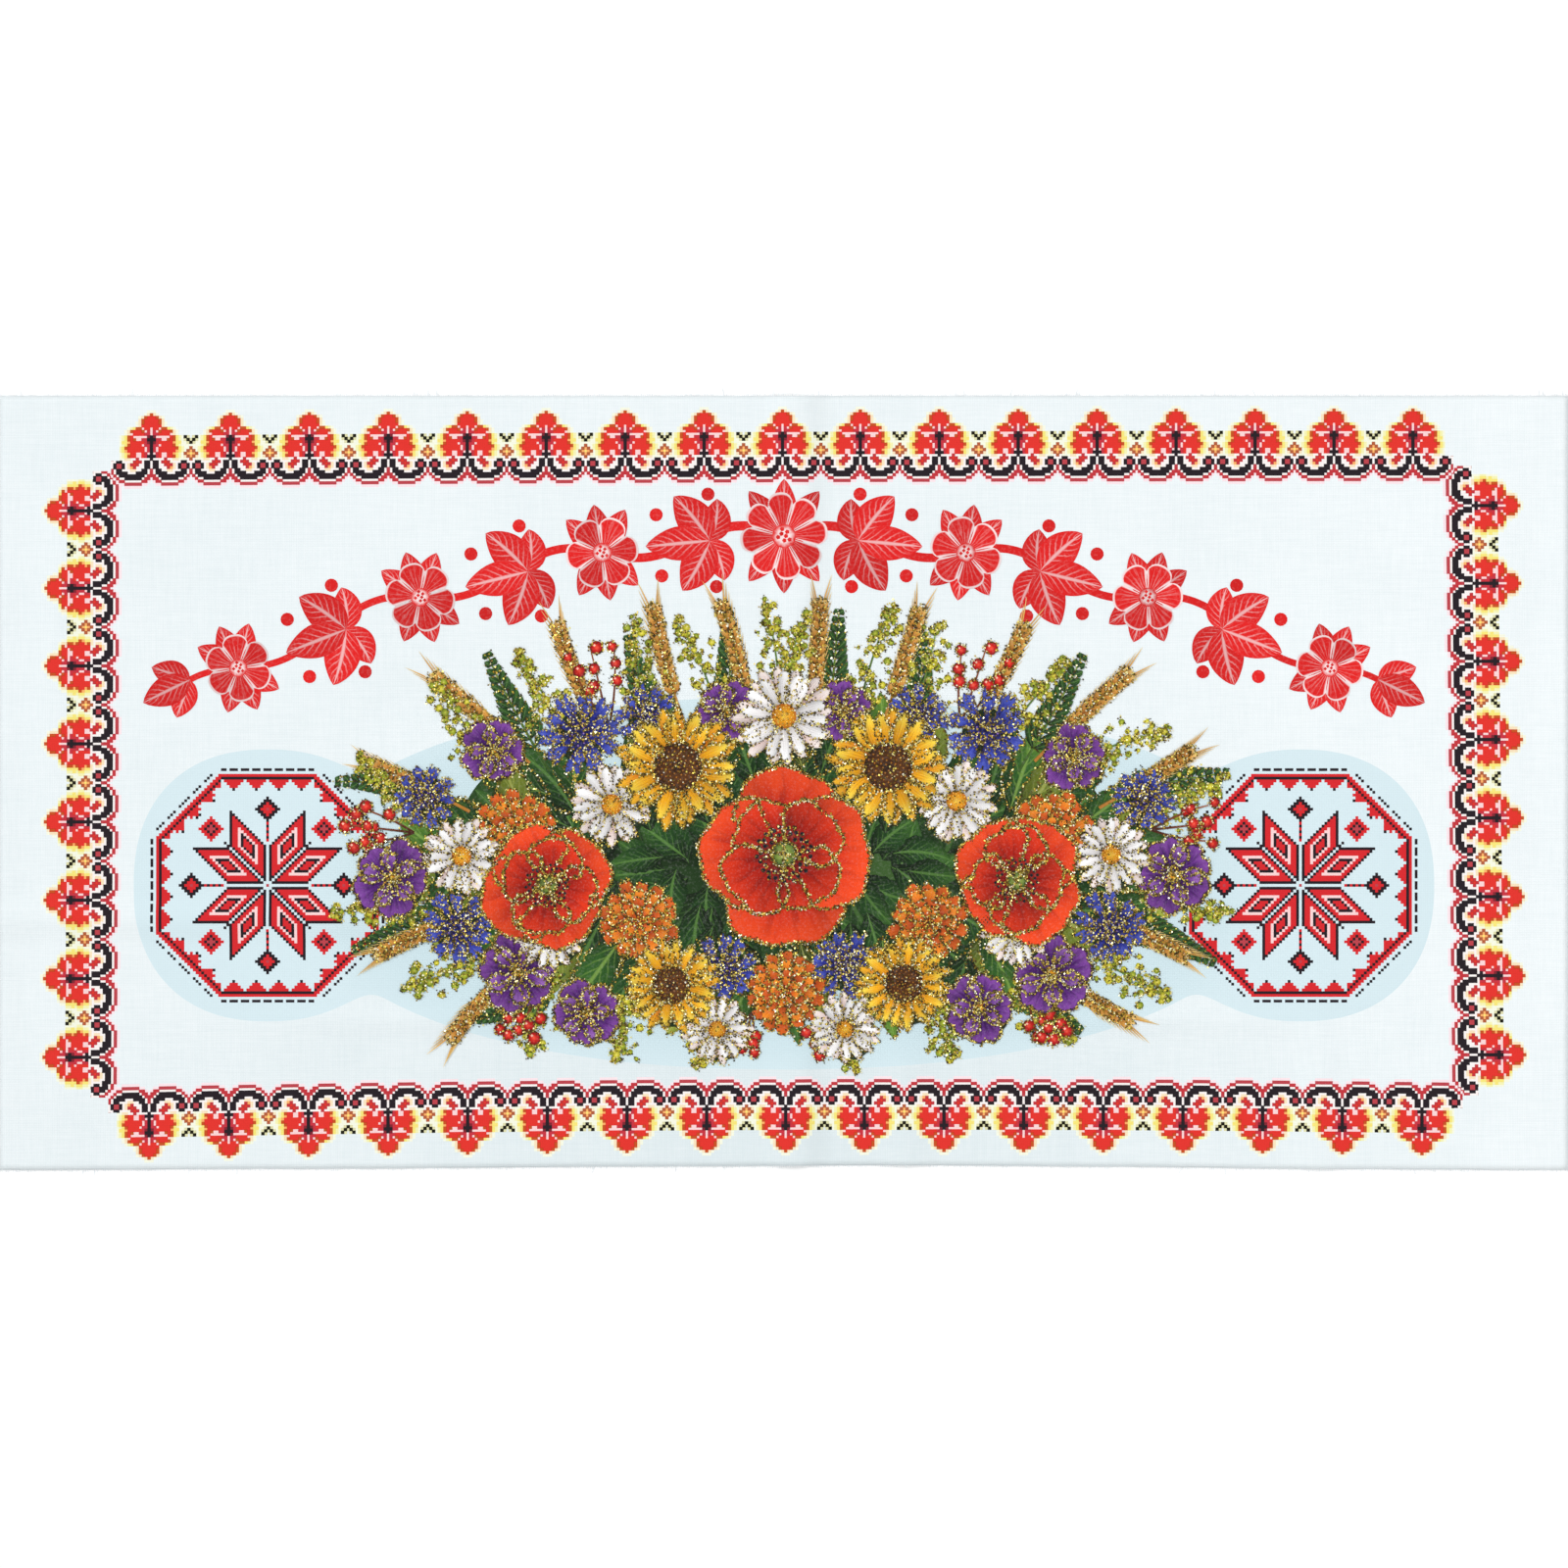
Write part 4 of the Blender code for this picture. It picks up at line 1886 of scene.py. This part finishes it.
class Spot(NamedTuple):
    """Where a flower goes, in millimetres. One off the middle has a partner on the other side."""

    x: float
    y: float
    radius: float


class Shoot(NamedTuple):
    """Where something grows from, in millimetres, and which way, in degrees. It has a partner too."""

    x: float
    y: float
    heading: float
    length: float


class LeafRound(NamedTuple):
    """One round of leaves, with lengths in millimetres."""

    share: float  # how far out it lies, against the spray's outline
    count: int
    length: float
    half_width: float
    ink: Ink | None = None  # None is for three greens in turn, touched with glitter


@dataclass
class Bouquet:
    """A spray of garden and field flowers, the same kinds on both sides of its middle."""

    bed: PrintBed
    middle: float = -40.0
    half_wide: float = 192.0
    half_high: float = 86.0
    leaf_rounds: tuple[LeafRound, ...] = (
        LeafRound(0.66, 44, 46.0, 13.0, SHADE_GREEN),
        LeafRound(0.44, 28, 30.0, 7.5, LEAF_DARK),
        LeafRound(0.70, 46, 36.0, 8.0, LEAF_DARK),
        LeafRound(0.87, 52, 42.0, 8.5, LEAF_DARK),
        LeafRound(1.00, 46, 48.0, 8.5),
    )
    drift: float = 1.2  # how far a flower strays from its spot
    stretches: int = 14  # of a stem
    frond_bare: int = 3  # stretches of a frond before its first leaves
    frond_leaf: float = 15.0
    frond_lean: float = 52.0
    ear_bare: int = 5
    awn: float = 20.0
    awn_lean: float = 15.0
    grain: float = 8.2
    grain_lean: float = 32.0
    buds: int = 5  # at each point of a spray
    bud_sizes: tuple[float, float] = (1.0, 2.1)
    twig_leans: tuple[float, ...] = (-26.0, 0.0, 26.0)
    berry_points: tuple[int, ...] = (8, 11, 14)  # of a twig
    berry_sizes: tuple[float, float] = (2.6, 3.4)
    fern_shoots: tuple[Shoot, ...] = (
        Shoot(60, 8, 74, 62), Shoot(112, 4, 56, 62), Shoot(150, -12, 24, 62),
        Shoot(150, -60, -20, 56), Shoot(104, -88, -42, 46), Shoot(20, 20, 84, 60),
    )
    ear_shoots: tuple[Shoot, ...] = (
        Shoot(14, 26, 82, 58), Shoot(44, 22, 68, 58), Shoot(84, 20, 58, 56), Shoot(122, 10, 45, 56),
        Shoot(150, -14, 30, 46), Shoot(150, -62, -22, 42), Shoot(128, -90, -38, 40),
    )
    lime_shoots: tuple[Shoot, ...] = (
        Shoot(4, 36, 90, 46), Shoot(34, 34, 78, 48), Shoot(62, 30, 66, 50), Shoot(104, 22, 58, 46),
        Shoot(138, 8, 42, 48), Shoot(168, -14, 20, 42), Shoot(172, -54, -10, 40),
        Shoot(148, -84, -30, 38), Shoot(110, -98, -46, 36), Shoot(70, -104, -64, 30),
        Shoot(34, -106, -80, 28),
    )
    berry_shoots: tuple[Shoot, ...] = (
        Shoot(176, -24, 6, 30), Shoot(118, -102, -58, 24), Shoot(84, 26, 76, 38),
        Shoot(14, -112, -74, 18),
    )
    blooms: tuple[tuple[Flower, tuple[Spot, ...]], ...] = (
        (MALLOW, (
            Spot(126, -92, 20), Spot(27, 36, 15), Spot(186, -46, 19), Spot(94, -108, 17),
            Spot(140, 14, 16),
        )),
        (CORNFLOWER, (
            Spot(97, 24, 20), Spot(30, -88, 17), Spot(156, -70, 18), Spot(172, -6, 15),
            Spot(66, 34, 15),
        )),
        (MARIGOLD_BLOOM, (Spot(128, -22, 20), Spot(68, -66, 19), Spot(0, -100, 19))),
        (DAISY, (
            Spot(0, 32, 24), Spot(156, -34, 19), Spot(30, -116, 17), Spot(84, -10, 20),
            Spot(112, -72, 17),
        )),
        (SUNFLOWER, (Spot(50, 8, 29), Spot(56, -96, 23))),
        (POPPY, (Spot(112, -48, 31), Spot(0, -34, 40))),
    )

    def draw(self) -> None:
        """Prints the whole spray, from the undergrowth up."""
        self.leaves()
        self.ferns()
        self.ears()
        self.lime_sprays()
        self.berries()
        for flower, spots in self.blooms:
            for spot in spots:
                for side in (1.0, -1.0) if spot.x else (1.0,):
                    drift = self.bed.rng.normal(0.0, self.drift, 2) if spot.x else (0.0, 0.0)
                    place = (side * spot.x + drift[0], spot.y + drift[1])
                    self.bed.draw(flower.piece, flower.patches(*place, spot.radius, self.bed.rng))

    def edge(self, turn: float) -> tuple[float, float, float]:
        """Gives a point of the spray's outline and the way that faces out there.

        Args:
            turn: Which point, in degrees round the middle.

        Returns:
            The point's x and y in millimetres, and the heading in degrees.
        """
        way = math.radians(turn)
        x, y = self.half_wide * math.cos(way), self.half_high * math.sin(way)
        out = math.atan2(math.sin(way) / self.half_high**0.5, math.cos(way) / self.half_wide**0.5)
        return x, y + self.middle, math.degrees(out)

    def leaves(self) -> None:
        """Draws the leaves: a dark filling, and then the rounds that show."""
        rng = self.bed.rng
        filling = [
            Fan(SHADE_GREEN, side * 30.0, self.middle, heading, 128.0, 32.0, waist=1.6, droop=0.2)
            for side, heading in ((1.0, 0.0), (-1.0, 180.0))
        ]
        self.bed.draw("leaf_print", [*filling, disc(SHADE_GREEN, 0.0, self.middle, 62.0)])
        for share, count, length, half_width, ink in self.leaf_rounds:
            for number in [*range(0, count, 2), *range(1, count, 2)]:
                turn = 360.0 * (number + 0.5 + rng.uniform(-0.25, 0.25)) / count
                x, y, heading = self.edge(turn)
                x, y = x * share, (y - self.middle) * share + self.middle
                heading += rng.normal(0.0, 12.0)
                size = length * rng.uniform(0.8, 1.12)
                root = toward(x, y, heading, -size)
                shade = ink or (LEAF_GREEN, LEAF_DARK, LEAF_OLIVE)[number % 3]
                leaf = Blade(
                    shade, *root, heading, size, half_width * rng.uniform(0.85, 1.1),
                    bend=rng.normal(0.0, 22.0), fullness=0.9, peak=0.85, teeth=0.16,
                    sparkle=0.0 if ink else 1.2,
                )
                self.bed.draw("leaf_print", [leaf])

    def pairs(self, shoots: Iterable[Shoot]) -> Iterable[Shoot]:
        """Gives each shoot and its partner on the other side, a little different.

        Args:
            shoots: Those of the right side.

        Returns:
            Both shoots of each pair.
        """
        for shoot in shoots:
            for side in (1, -1):
                heading = shoot.heading if side == 1 else 180.0 - shoot.heading
                drift = self.bed.rng.normal(0.0, 1.5, 3)
                yield Shoot(side * shoot.x + drift[0], shoot.y + drift[1], heading + drift[2], shoot.length)

    def stalk(
        self, piece: str, ink: Ink, shoot: Shoot, bend: float, half_width: float
    ) -> list[tuple[float, float, float]]:
        """Draws one bowed stem.

        Args:
            piece: The piece that it belongs to.
            ink: Its colours.
            shoot: Where it grows from, and which way.
            bend: How far it turns in all, in degrees.
            half_width: Half its width at the root.

        Returns:
            Points along it, each as x, y and the way that it runs there.
        """
        line = [(shoot.x, shoot.y)]
        for step in range(self.stretches):
            way = shoot.heading + bend * (step + 0.5) / self.stretches
            line.append(toward(*line[-1], way, shoot.length / self.stretches))
        self.bed.draw(piece, [Ribbon(ink, tuple(line), half_width)])
        turns = [shoot.heading + bend * number / len(line) for number in range(len(line))]
        return [(*point, turn) for point, turn in zip(line, turns)]

    def ferns(self) -> None:
        """Draws fronds of small leaves in pairs."""
        for shoot in self.pairs(self.fern_shoots):
            stem = self.stalk("leaf_print", STEM_GREEN, shoot, self.bed.rng.normal(0.0, 16.0), 0.7)
            for number, (x, y, way) in enumerate(stem[self.frond_bare :], self.frond_bare):
                size = self.frond_leaf * (1.15 - number / len(stem))
                for lean in (self.frond_lean, -self.frond_lean):
                    leaf = Blade(LEAF_DARK, x, y, way + lean, size, 1.9, bend=-lean * 0.5, sparkle=0.25)
                    self.bed.draw("leaf_print", [leaf])

    def ears(self) -> None:
        """Draws ears of wheat, each with its grains in pairs and a fan of awns."""
        for shoot in self.pairs(self.ear_shoots):
            stem = self.stalk("ear_print", STRAW_LINE, shoot, self.bed.rng.normal(0.0, 14.0), 0.8)
            for x, y, way in stem[self.ear_bare :]:
                awns = [
                    Blade(STRAW_LINE, x, y, way + lean, self.awn, 0.32)
                    for lean in (self.awn_lean, -self.awn_lean)
                ]
                self.bed.draw("ear_print", awns)
            for x, y, way in stem[self.ear_bare :]:
                grains = [
                    Blade(STRAW, x, y, way + lean, self.grain, 2.0, bend=-0.8 * lean, sparkle=1.1)
                    for lean in (self.grain_lean, -self.grain_lean)
                ]
                self.bed.draw("ear_print", grains)
            self.bed.draw("ear_print", [Blade(STRAW, *stem[-1], 8.5, 1.9, sparkle=1.1)])

    def lime_sprays(self) -> None:
        """Draws loose sprays of small round lime-green buds."""
        rng = self.bed.rng
        for shoot in self.pairs(self.lime_shoots):
            stem = self.stalk("lime_print", STEM_GREEN, shoot, rng.normal(0.0, 20.0), 0.55)
            for number, point in enumerate(stem[2:], 2):
                spread = 8.0 * math.sin(math.pi * (number / len(stem)) ** 0.7) + 1.5
                for _ in range(self.buds):
                    x, y = np.array(point[:2]) + rng.normal(0.0, 0.55 * spread, 2)
                    ink = LIME if rng.random() < 0.6 else LIME_YELLOW
                    bud = disc(ink, x, y, rng.uniform(*self.bud_sizes), sparkle=0.5, dusted=0.12)
                    self.bed.draw("lime_print", [bud])

    def berries(self) -> None:
        """Draws clusters of red berries on thin twigs, each berry with its shine."""
        rng = self.bed.rng
        for shoot in self.pairs(self.berry_shoots):
            for lean in self.twig_leans:
                turned = shoot._replace(heading=shoot.heading + lean)
                stem = self.stalk("berry_print", TWIG, turned, -0.7 * lean, 0.6)
                for number in self.berry_points:
                    x, y = np.array(stem[number][:2]) + rng.normal(0.0, 1.6, 2)
                    size = rng.uniform(*self.berry_sizes)
                    berry = disc(BERRY, x, y, size, sparkle=1.2)
                    shine = disc(SHINE, x - 0.3 * size, y + 0.34 * size, 0.28 * size)
                    self.bed.draw("berry_print", [berry, shine])


@dataclass
class Garland:
    """A red vine with leaves and rosettes, bowed over the spray."""

    bed: PrintBed
    piece: str = "garland_print"
    crown: float = 118.0  # how high its middle runs
    drop: float = 74.0  # how much lower its ends run
    half_span: float = 284.0
    wave: float = 5.5
    station: float = 43.5  # from motif to motif, along X
    size: float = 1.14  # of the leaves, against the sizes given below
    red: str = "#DA1C1C"
    bare: str = "#F2D8D8"
    vine_steps: int = 120
    vine_half: float = 2.3  # half its width at the crown
    vine_taper: float = 0.35
    stations: int = 6  # on each side, with sprigs and rosettes in turn
    crown_rosette: float = 21.0
    rosette_size: float = 18.0
    rosette_shrink: float = 0.3  # from station to station, outwards
    rosette_leans: tuple[float, ...] = (52.0, 90.0, 128.0, -52.0, -90.0, -128.0)  # of its leaves
    berry_size: float = 3.2
    sprig_berries: tuple[tuple[float, float], ...] = (
        (93.0, 19.5), (-93.0, 19.5), (31.0, 25.0), (-31.0, 25.0),
    )  # each one's lean in degrees, and how far off it hangs
    sprig_leaves: tuple[tuple[float, float, float], ...] = (
        (120.0, 18.0, 6.4), (-120.0, 18.0, 6.4), (64.0, 24.0, 7.6), (-64.0, 24.0, 7.6),
        (0.0, 27.0, 7.2),
    )  # each leaf's lean in degrees, its length and half its width
    end_leaves: tuple[tuple[float, float, float], ...] = (
        (44.0, 17.0, 5.6), (-44.0, 17.0, 5.6), (0.0, 22.0, 6.4),
    )

    def line(self, x: float) -> float:
        """Gives the height of the garland's middle line at x."""
        return self.crown - self.drop * (abs(x) / self.half_span) ** 1.9

    def vine(self, x: float) -> float:
        """Gives the height of the vine, which waves about the middle line, at an x on the right."""
        return self.line(x) + self.wave * math.sin(math.pi * x / self.station)

    def slope(self, x: float) -> float:
        """Gives the way the garland runs at x, outwards, in degrees."""
        side = 1.0 if x >= 0 else -1.0
        return math.degrees(math.atan2(self.line(x + side) - self.line(x), side))

    def ink(self, veins: Veins, strength: float = 1.0, edge: float = 1.0) -> Ink:
        """Gives the red ink, whose veins and edges are bare cloth."""
        return Ink(self.red, self.red, self.red, self.bare, veins, strength, 0.0, edge)

    def draw(self) -> None:
        """Prints the garland: its vine, then its leaves, then its rosettes."""
        plain = self.ink(Veins.RAYS, 0.0, 0.0)
        for side in (1.0, -1.0):
            steps = np.linspace(0.0, self.half_span, self.vine_steps)
            path = [(side * x, self.vine(x)) for x in steps]
            self.bed.draw(self.piece, [Ribbon(plain, tuple(path), self.vine_half, self.vine_taper)])
            for number in range(1, self.stations + 1):
                x = side * number * self.station
                if number % 2:
                    self.sprig(x, side)
                else:
                    self.rosette(x, self.rosette_size - self.rosette_shrink * number, 6)
            self.finial(side)
        self.rosette(0.0, self.crown_rosette, 8)

    def leaf(
        self, x: float, y: float, heading: float, length: float, half_width: float, bend: float
    ) -> None:
        """Draws one leaf.

        Args:
            x: Where its root lies.
            y: The same.
            heading: The way that it points.
            length: How long it is.
            half_width: Half its width.
            bend: How far it turns, in degrees.
        """
        ink = self.ink(Veins.FEATHER, 0.6, 0.0)
        length, half_width = length * self.size, half_width * self.size
        leaf = Blade(ink, x, y, heading, length, half_width, bend=bend, fullness=0.75, peak=0.85)
        self.bed.draw(self.piece, [leaf])

    def sprig(self, x: float, side: float) -> None:
        """Draws a spray of five leaves on the vine, with berries between them.

        Args:
            x: Where the sprig stands.
            side: 1 on the right and -1 on the left.
        """
        base = self.slope(x)
        x, y = x - 8.0 * side, self.line(x)
        for lean, length, wide in self.sprig_leaves:
            self.leaf(x, y, base + side * lean, length, wide, -0.25 * side * lean)
        for lean, far in self.sprig_berries:
            spot = toward(x, y, base + side * lean, self.size * far)
            berry = disc(self.ink(Veins.RAYS, 0.0, 0.0), *spot, self.berry_size)
            self.bed.draw(self.piece, [berry])

    def rosette(self, x: float, radius: float, count: int) -> None:
        """Draws one rosette with a ring of petals, leaves above and below it and a bare eye.

        Args:
            x: Where it stands.
            radius: Its size.
            count: How many petals it has.
        """
        y = self.line(x)
        for lean in self.rosette_leans:
            self.leaf(x, y, self.slope(x) + lean, radius + 3.0, 5.4, 0.0)
        petal = self.ink(Veins.RAYS, 0.3, 1.0)
        ring = Ring(Petal.BROAD, count, petal, 182.0 / count, 1.0, waist=0.85, droop=0.26, uneven=0.0)
        bare = Ink(self.bare, self.bare, self.red, self.bare, relief=0.0)
        seed = self.ink(Veins.RAYS, 0.0, 0.0)
        flower = Flower(
            self.piece, (ring,), bare, 0.27, seed,
            seeds=7, seed_size=0.055, seeds_to=0.17, sparkle=0.0, shade=0.0,
        )
        self.bed.draw(self.piece, flower.patches(x, y, radius, self.bed.rng))

    def finial(self, side: float) -> None:
        """Draws the leaves that end the garland on one side.

        Args:
            side: 1 on the right, or -1.
        """
        x = side * self.half_span
        y = self.vine(self.half_span)
        base = self.slope(x)
        for lean, length, wide in self.end_leaves:
            self.leaf(x, y, base + side * lean, length, wide, 0.0)


# Glitter


@dataclass(frozen=True)
class GoldGlitter:
    """Flakes of gilt film in clear glue.

    Each flake leans its own way, and painted glints give each its own colour, pale gold to nearly black.
    """

    metallic: float = 0.45
    roughness: float = 0.32
    # Painted glints: colours from the darkest flake to the brightest glint.
    tones: tuple[tuple[float, str], ...] = (
        (0.00, "#2A2006"),
        (0.32, "#544310"),
        (0.54, "#8A701A"),
        (0.70, "#CFAC30"),
        (0.82, "#F4E36C"),
        (0.92, "#FDF6BE"),
        (1.00, "#FFFEEE"),
    )

    def make(self) -> bpy.types.Material:
        """Builds the glitter.

        Returns:
            The material.
        """
        material, graph = new_material("gilt_film_flakes")
        painted_glint = graph.add("Attribute", out=2, attribute_name="painted_glint")
        gilt = graph.add("ValToRGB", [painted_glint])
        stops = gilt.node.color_ramp.elements
        for number, (place, colour) in enumerate(self.tones):
            stop = stops[number] if number < 2 else stops.new(place)
            stop.position = place
            stop.color = linear(colour)
        graph.shade({"Base Color": gilt, "Metallic": self.metallic, "Roughness": self.roughness})
        return material


@dataclass
class Dusting:
    """Gold glitter along the outlines of the printed flowers and over the buds."""

    bed: PrintBed
    seed: int = 5
    smallest_mm: float = 0.32
    largest_mm: float = 0.60
    spread_mm: float = 0.52  # how far the flakes stray off an outline
    tilt: float = 0.40  # how far they lean, as a slope
    most_tilt: float = 0.90
    lift: float = 0.4  # of its radius, so that a leaning flake's low edge stays on the print
    plenty: float = 1.9  # how many times the flakes that each shape asks for
    most: int = 96000

    def spots(self) -> tuple[Numbers, Numbers]:
        """Finds where flakes lie: along each shape's edge and on dusted faces, where nothing covers them.

        Returns:
            Their x and y, in millimetres.
        """
        rng = np.random.default_rng(self.seed)
        found = []
        for patch, level in [shape for layer in self.bed.layers.values() for shape in layer]:
            spots = []
            if patch.sparkle:
                line = patch.outline()
                steps = np.linalg.norm(np.diff(line, axis=0, append=line[:1]), axis=1)
                run = np.concatenate([[0.0], np.cumsum(steps)])
                at = rng.uniform(0.0, run[-1], int(run[-1] * patch.sparkle * self.plenty))
                closed = np.concatenate([line, line[:1]])
                spots.append(np.stack([np.interp(at, run, closed[:, axis]) for axis in (0, 1)], axis=1))
            if patch.dusted:
                long, broad = patch.reach()
                count = rng.poisson(long * broad * patch.dusted)
                place = patch.place(np.sqrt(rng.random(count)), rng.uniform(-1.0, 1.0, count))
                spots.append(np.stack(place, axis=1))
            if not spots:
                continue
            spots = np.concatenate(spots)
            here = self.bed.cells(spots[:, 0], spots[:, 1])
            seen = self.bed.top[here] <= level + 1
            found.append(spots[seen] + rng.normal(0.0, self.spread_mm, (seen.sum(), 2)))
        spots = rng.permutation(np.concatenate(found))[: self.most]
        return spots[:, 0], spots[:, 1]

    def build(self) -> bpy.types.Object:
        """Builds the flakes as one piece.

        Returns:
            The piece's object.
        """
        rng = np.random.default_rng(self.seed + 1)
        x_mm, y_mm = self.spots()
        count = len(x_mm)
        radius = rng.uniform(self.smallest_mm, self.largest_mm, count) * MM
        yaw = rng.uniform(0.0, 2.0 * math.pi, count)
        lean = rng.normal(0.0, self.tilt, (count, 2)).clip(-self.most_tilt, self.most_tilt)
        first = np.stack([np.cos(yaw), np.sin(yaw), lean[:, 0]], axis=1)
        first /= np.linalg.norm(first, axis=1, keepdims=True)
        upward = np.stack([lean[:, 1] * np.sin(yaw), -lean[:, 1] * np.cos(yaw), np.ones(count)], axis=1)
        upward -= first * (upward * first).sum(axis=1, keepdims=True)
        upward /= np.linalg.norm(upward, axis=1, keepdims=True)
        second = np.cross(upward, first)
        axes = np.stack([first, second, upward], axis=1) * radius[:, None, None]
        x, y = x_mm * MM, y_mm * MM
        z = self.bed.height(x, y, self.bed.top[self.bed.cells(x_mm, y_mm)]) + self.lift * radius
        template = Template.flake()
        points, faces = repeated(template, np.stack([x, y, z], axis=1), axes)
        mesh = joined_mesh("gold_glitter", points, faces)
        # Each flake's painted glint: a random share from dark to bright.
        painted_glint = np.repeat(rng.random(count), len(template.points))
        mesh.attributes.new("painted_glint", "FLOAT", "POINT").data.foreach_set("value", painted_glint)
        return on_cloth("gold_glitter", mesh, GoldGlitter().make())


# The studio


class Lamp(NamedTuple):
    """One square soft lamp, turned to the cloth."""

    name: str
    place: tuple[float, float, float]
    size: float
    power: float
    spread: float = 180.0  # how wide its light fans out, in degrees
    aim_x: float = 0.0  # where along the cloth it points


@dataclass
class Studio:
    """A pale table, soft light and a camera straight above the cloth."""

    laid: LaidCloth
    lens: float = 85.0
    sensor: float = 36.0
    aim_y: float = -0.0005  # the cloth lies this far above the middle of the view
    lamps: tuple[Lamp, ...] = (
        Lamp("window", (-3.6, 2.85, 3.9), 2.4, 21.5, 60.0, 0.25),
        Lamp("fill", (2.6, -1.6, 3.0), 2.2, 42.0),
    )
    surround: float = 0.63
    table_half: float = 8.0
    table_white: str = "#FFFFFF"
    table_roughness: float = 0.7

    def build(self) -> None:
        """Sets it all up."""
        self.table()
        self.camera()
        for lamp in self.lamps:
            self.hang(lamp)
        world = bpy.data.worlds.new("studio")
        world.use_nodes = True
        light = world.node_tree.nodes["Background"]
        light.inputs["Color"].default_value = (1.0, 1.0, 1.0, 1.0)
        light.inputs["Strength"].default_value = self.surround
        bpy.context.scene.world = world
        bpy.context.scene.view_settings.view_transform = "Standard"

    def table(self) -> None:
        """Makes the table top: a white painted board, which to the eye is plain, pale and without gloss."""
        shape = bmesh.new()
        bmesh.ops.create_grid(shape, x_segments=1, y_segments=1, size=self.table_half)
        mesh = bpy.data.meshes.new("table")
        shape.to_mesh(mesh)
        shape.free()
        table = placed("table", mesh)
        material, graph = new_material("white_painted_board")
        graph.shade({"Base Color": linear(self.table_white), "Roughness": self.table_roughness})
        mesh.materials.append(material)
        table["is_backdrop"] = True

    def camera(self) -> None:
        """Hangs the camera so that the cloth's length just fills the picture."""
        lens = bpy.data.cameras.new("camera")
        lens.lens = self.lens
        lens.sensor_width = self.sensor
        camera = placed("camera", lens)
        height = self.laid.length * self.lens / self.sensor + self.laid.thickness
        camera.location = (0.0, self.aim_y, height)
        bpy.context.scene.camera = camera

    def hang(self, lamp: Lamp) -> None:
        """Hangs one lamp.

        Args:
            lamp: Its place, aim, size and power.
        """
        light = bpy.data.lights.new(lamp.name, "AREA")
        light.shape = "SQUARE"
        light.size = lamp.size
        light.energy = lamp.power
        light.spread = math.radians(lamp.spread)
        hung = placed(lamp.name, light)
        hung.location = lamp.place
        hung.rotation_mode = "QUATERNION"
        aim = Vector((lamp.aim_x, 0.0, 0.0)) - Vector(lamp.place)
        hung.rotation_quaternion = aim.to_track_quat("-Z", "Y")


def main() -> None:
    """Builds the cover piece by piece."""
    logging.basicConfig(level=logging.INFO, format="%(message)s")
    low, high = CAD_BOX
    laid = LaidCloth(length=high[0] - low[0], width=round(high[1] - low[1], 4))
    sheet, *pieces = ClothPanel(laid).build()
    bed = PrintBed(laid)
    Garland(bed).draw()
    Bouquet(bed).draw()
    LOG.info("the print is %d shapes deep", bed.top.max())
    ink = PrintInk().make()
    pieces += [bed.build(name, ink) for name in bed.layers]
    pieces.append(Dusting(bed).build())
    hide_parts(NODE)
    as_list(pieces)
    Studio(laid).build()
    sizes = {"cad": CAD_BOX, "visual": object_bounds()}
    {name: [list(corner) for corner in box] for name, box in sizes.items()}


if __name__ == "__main__":
    main()
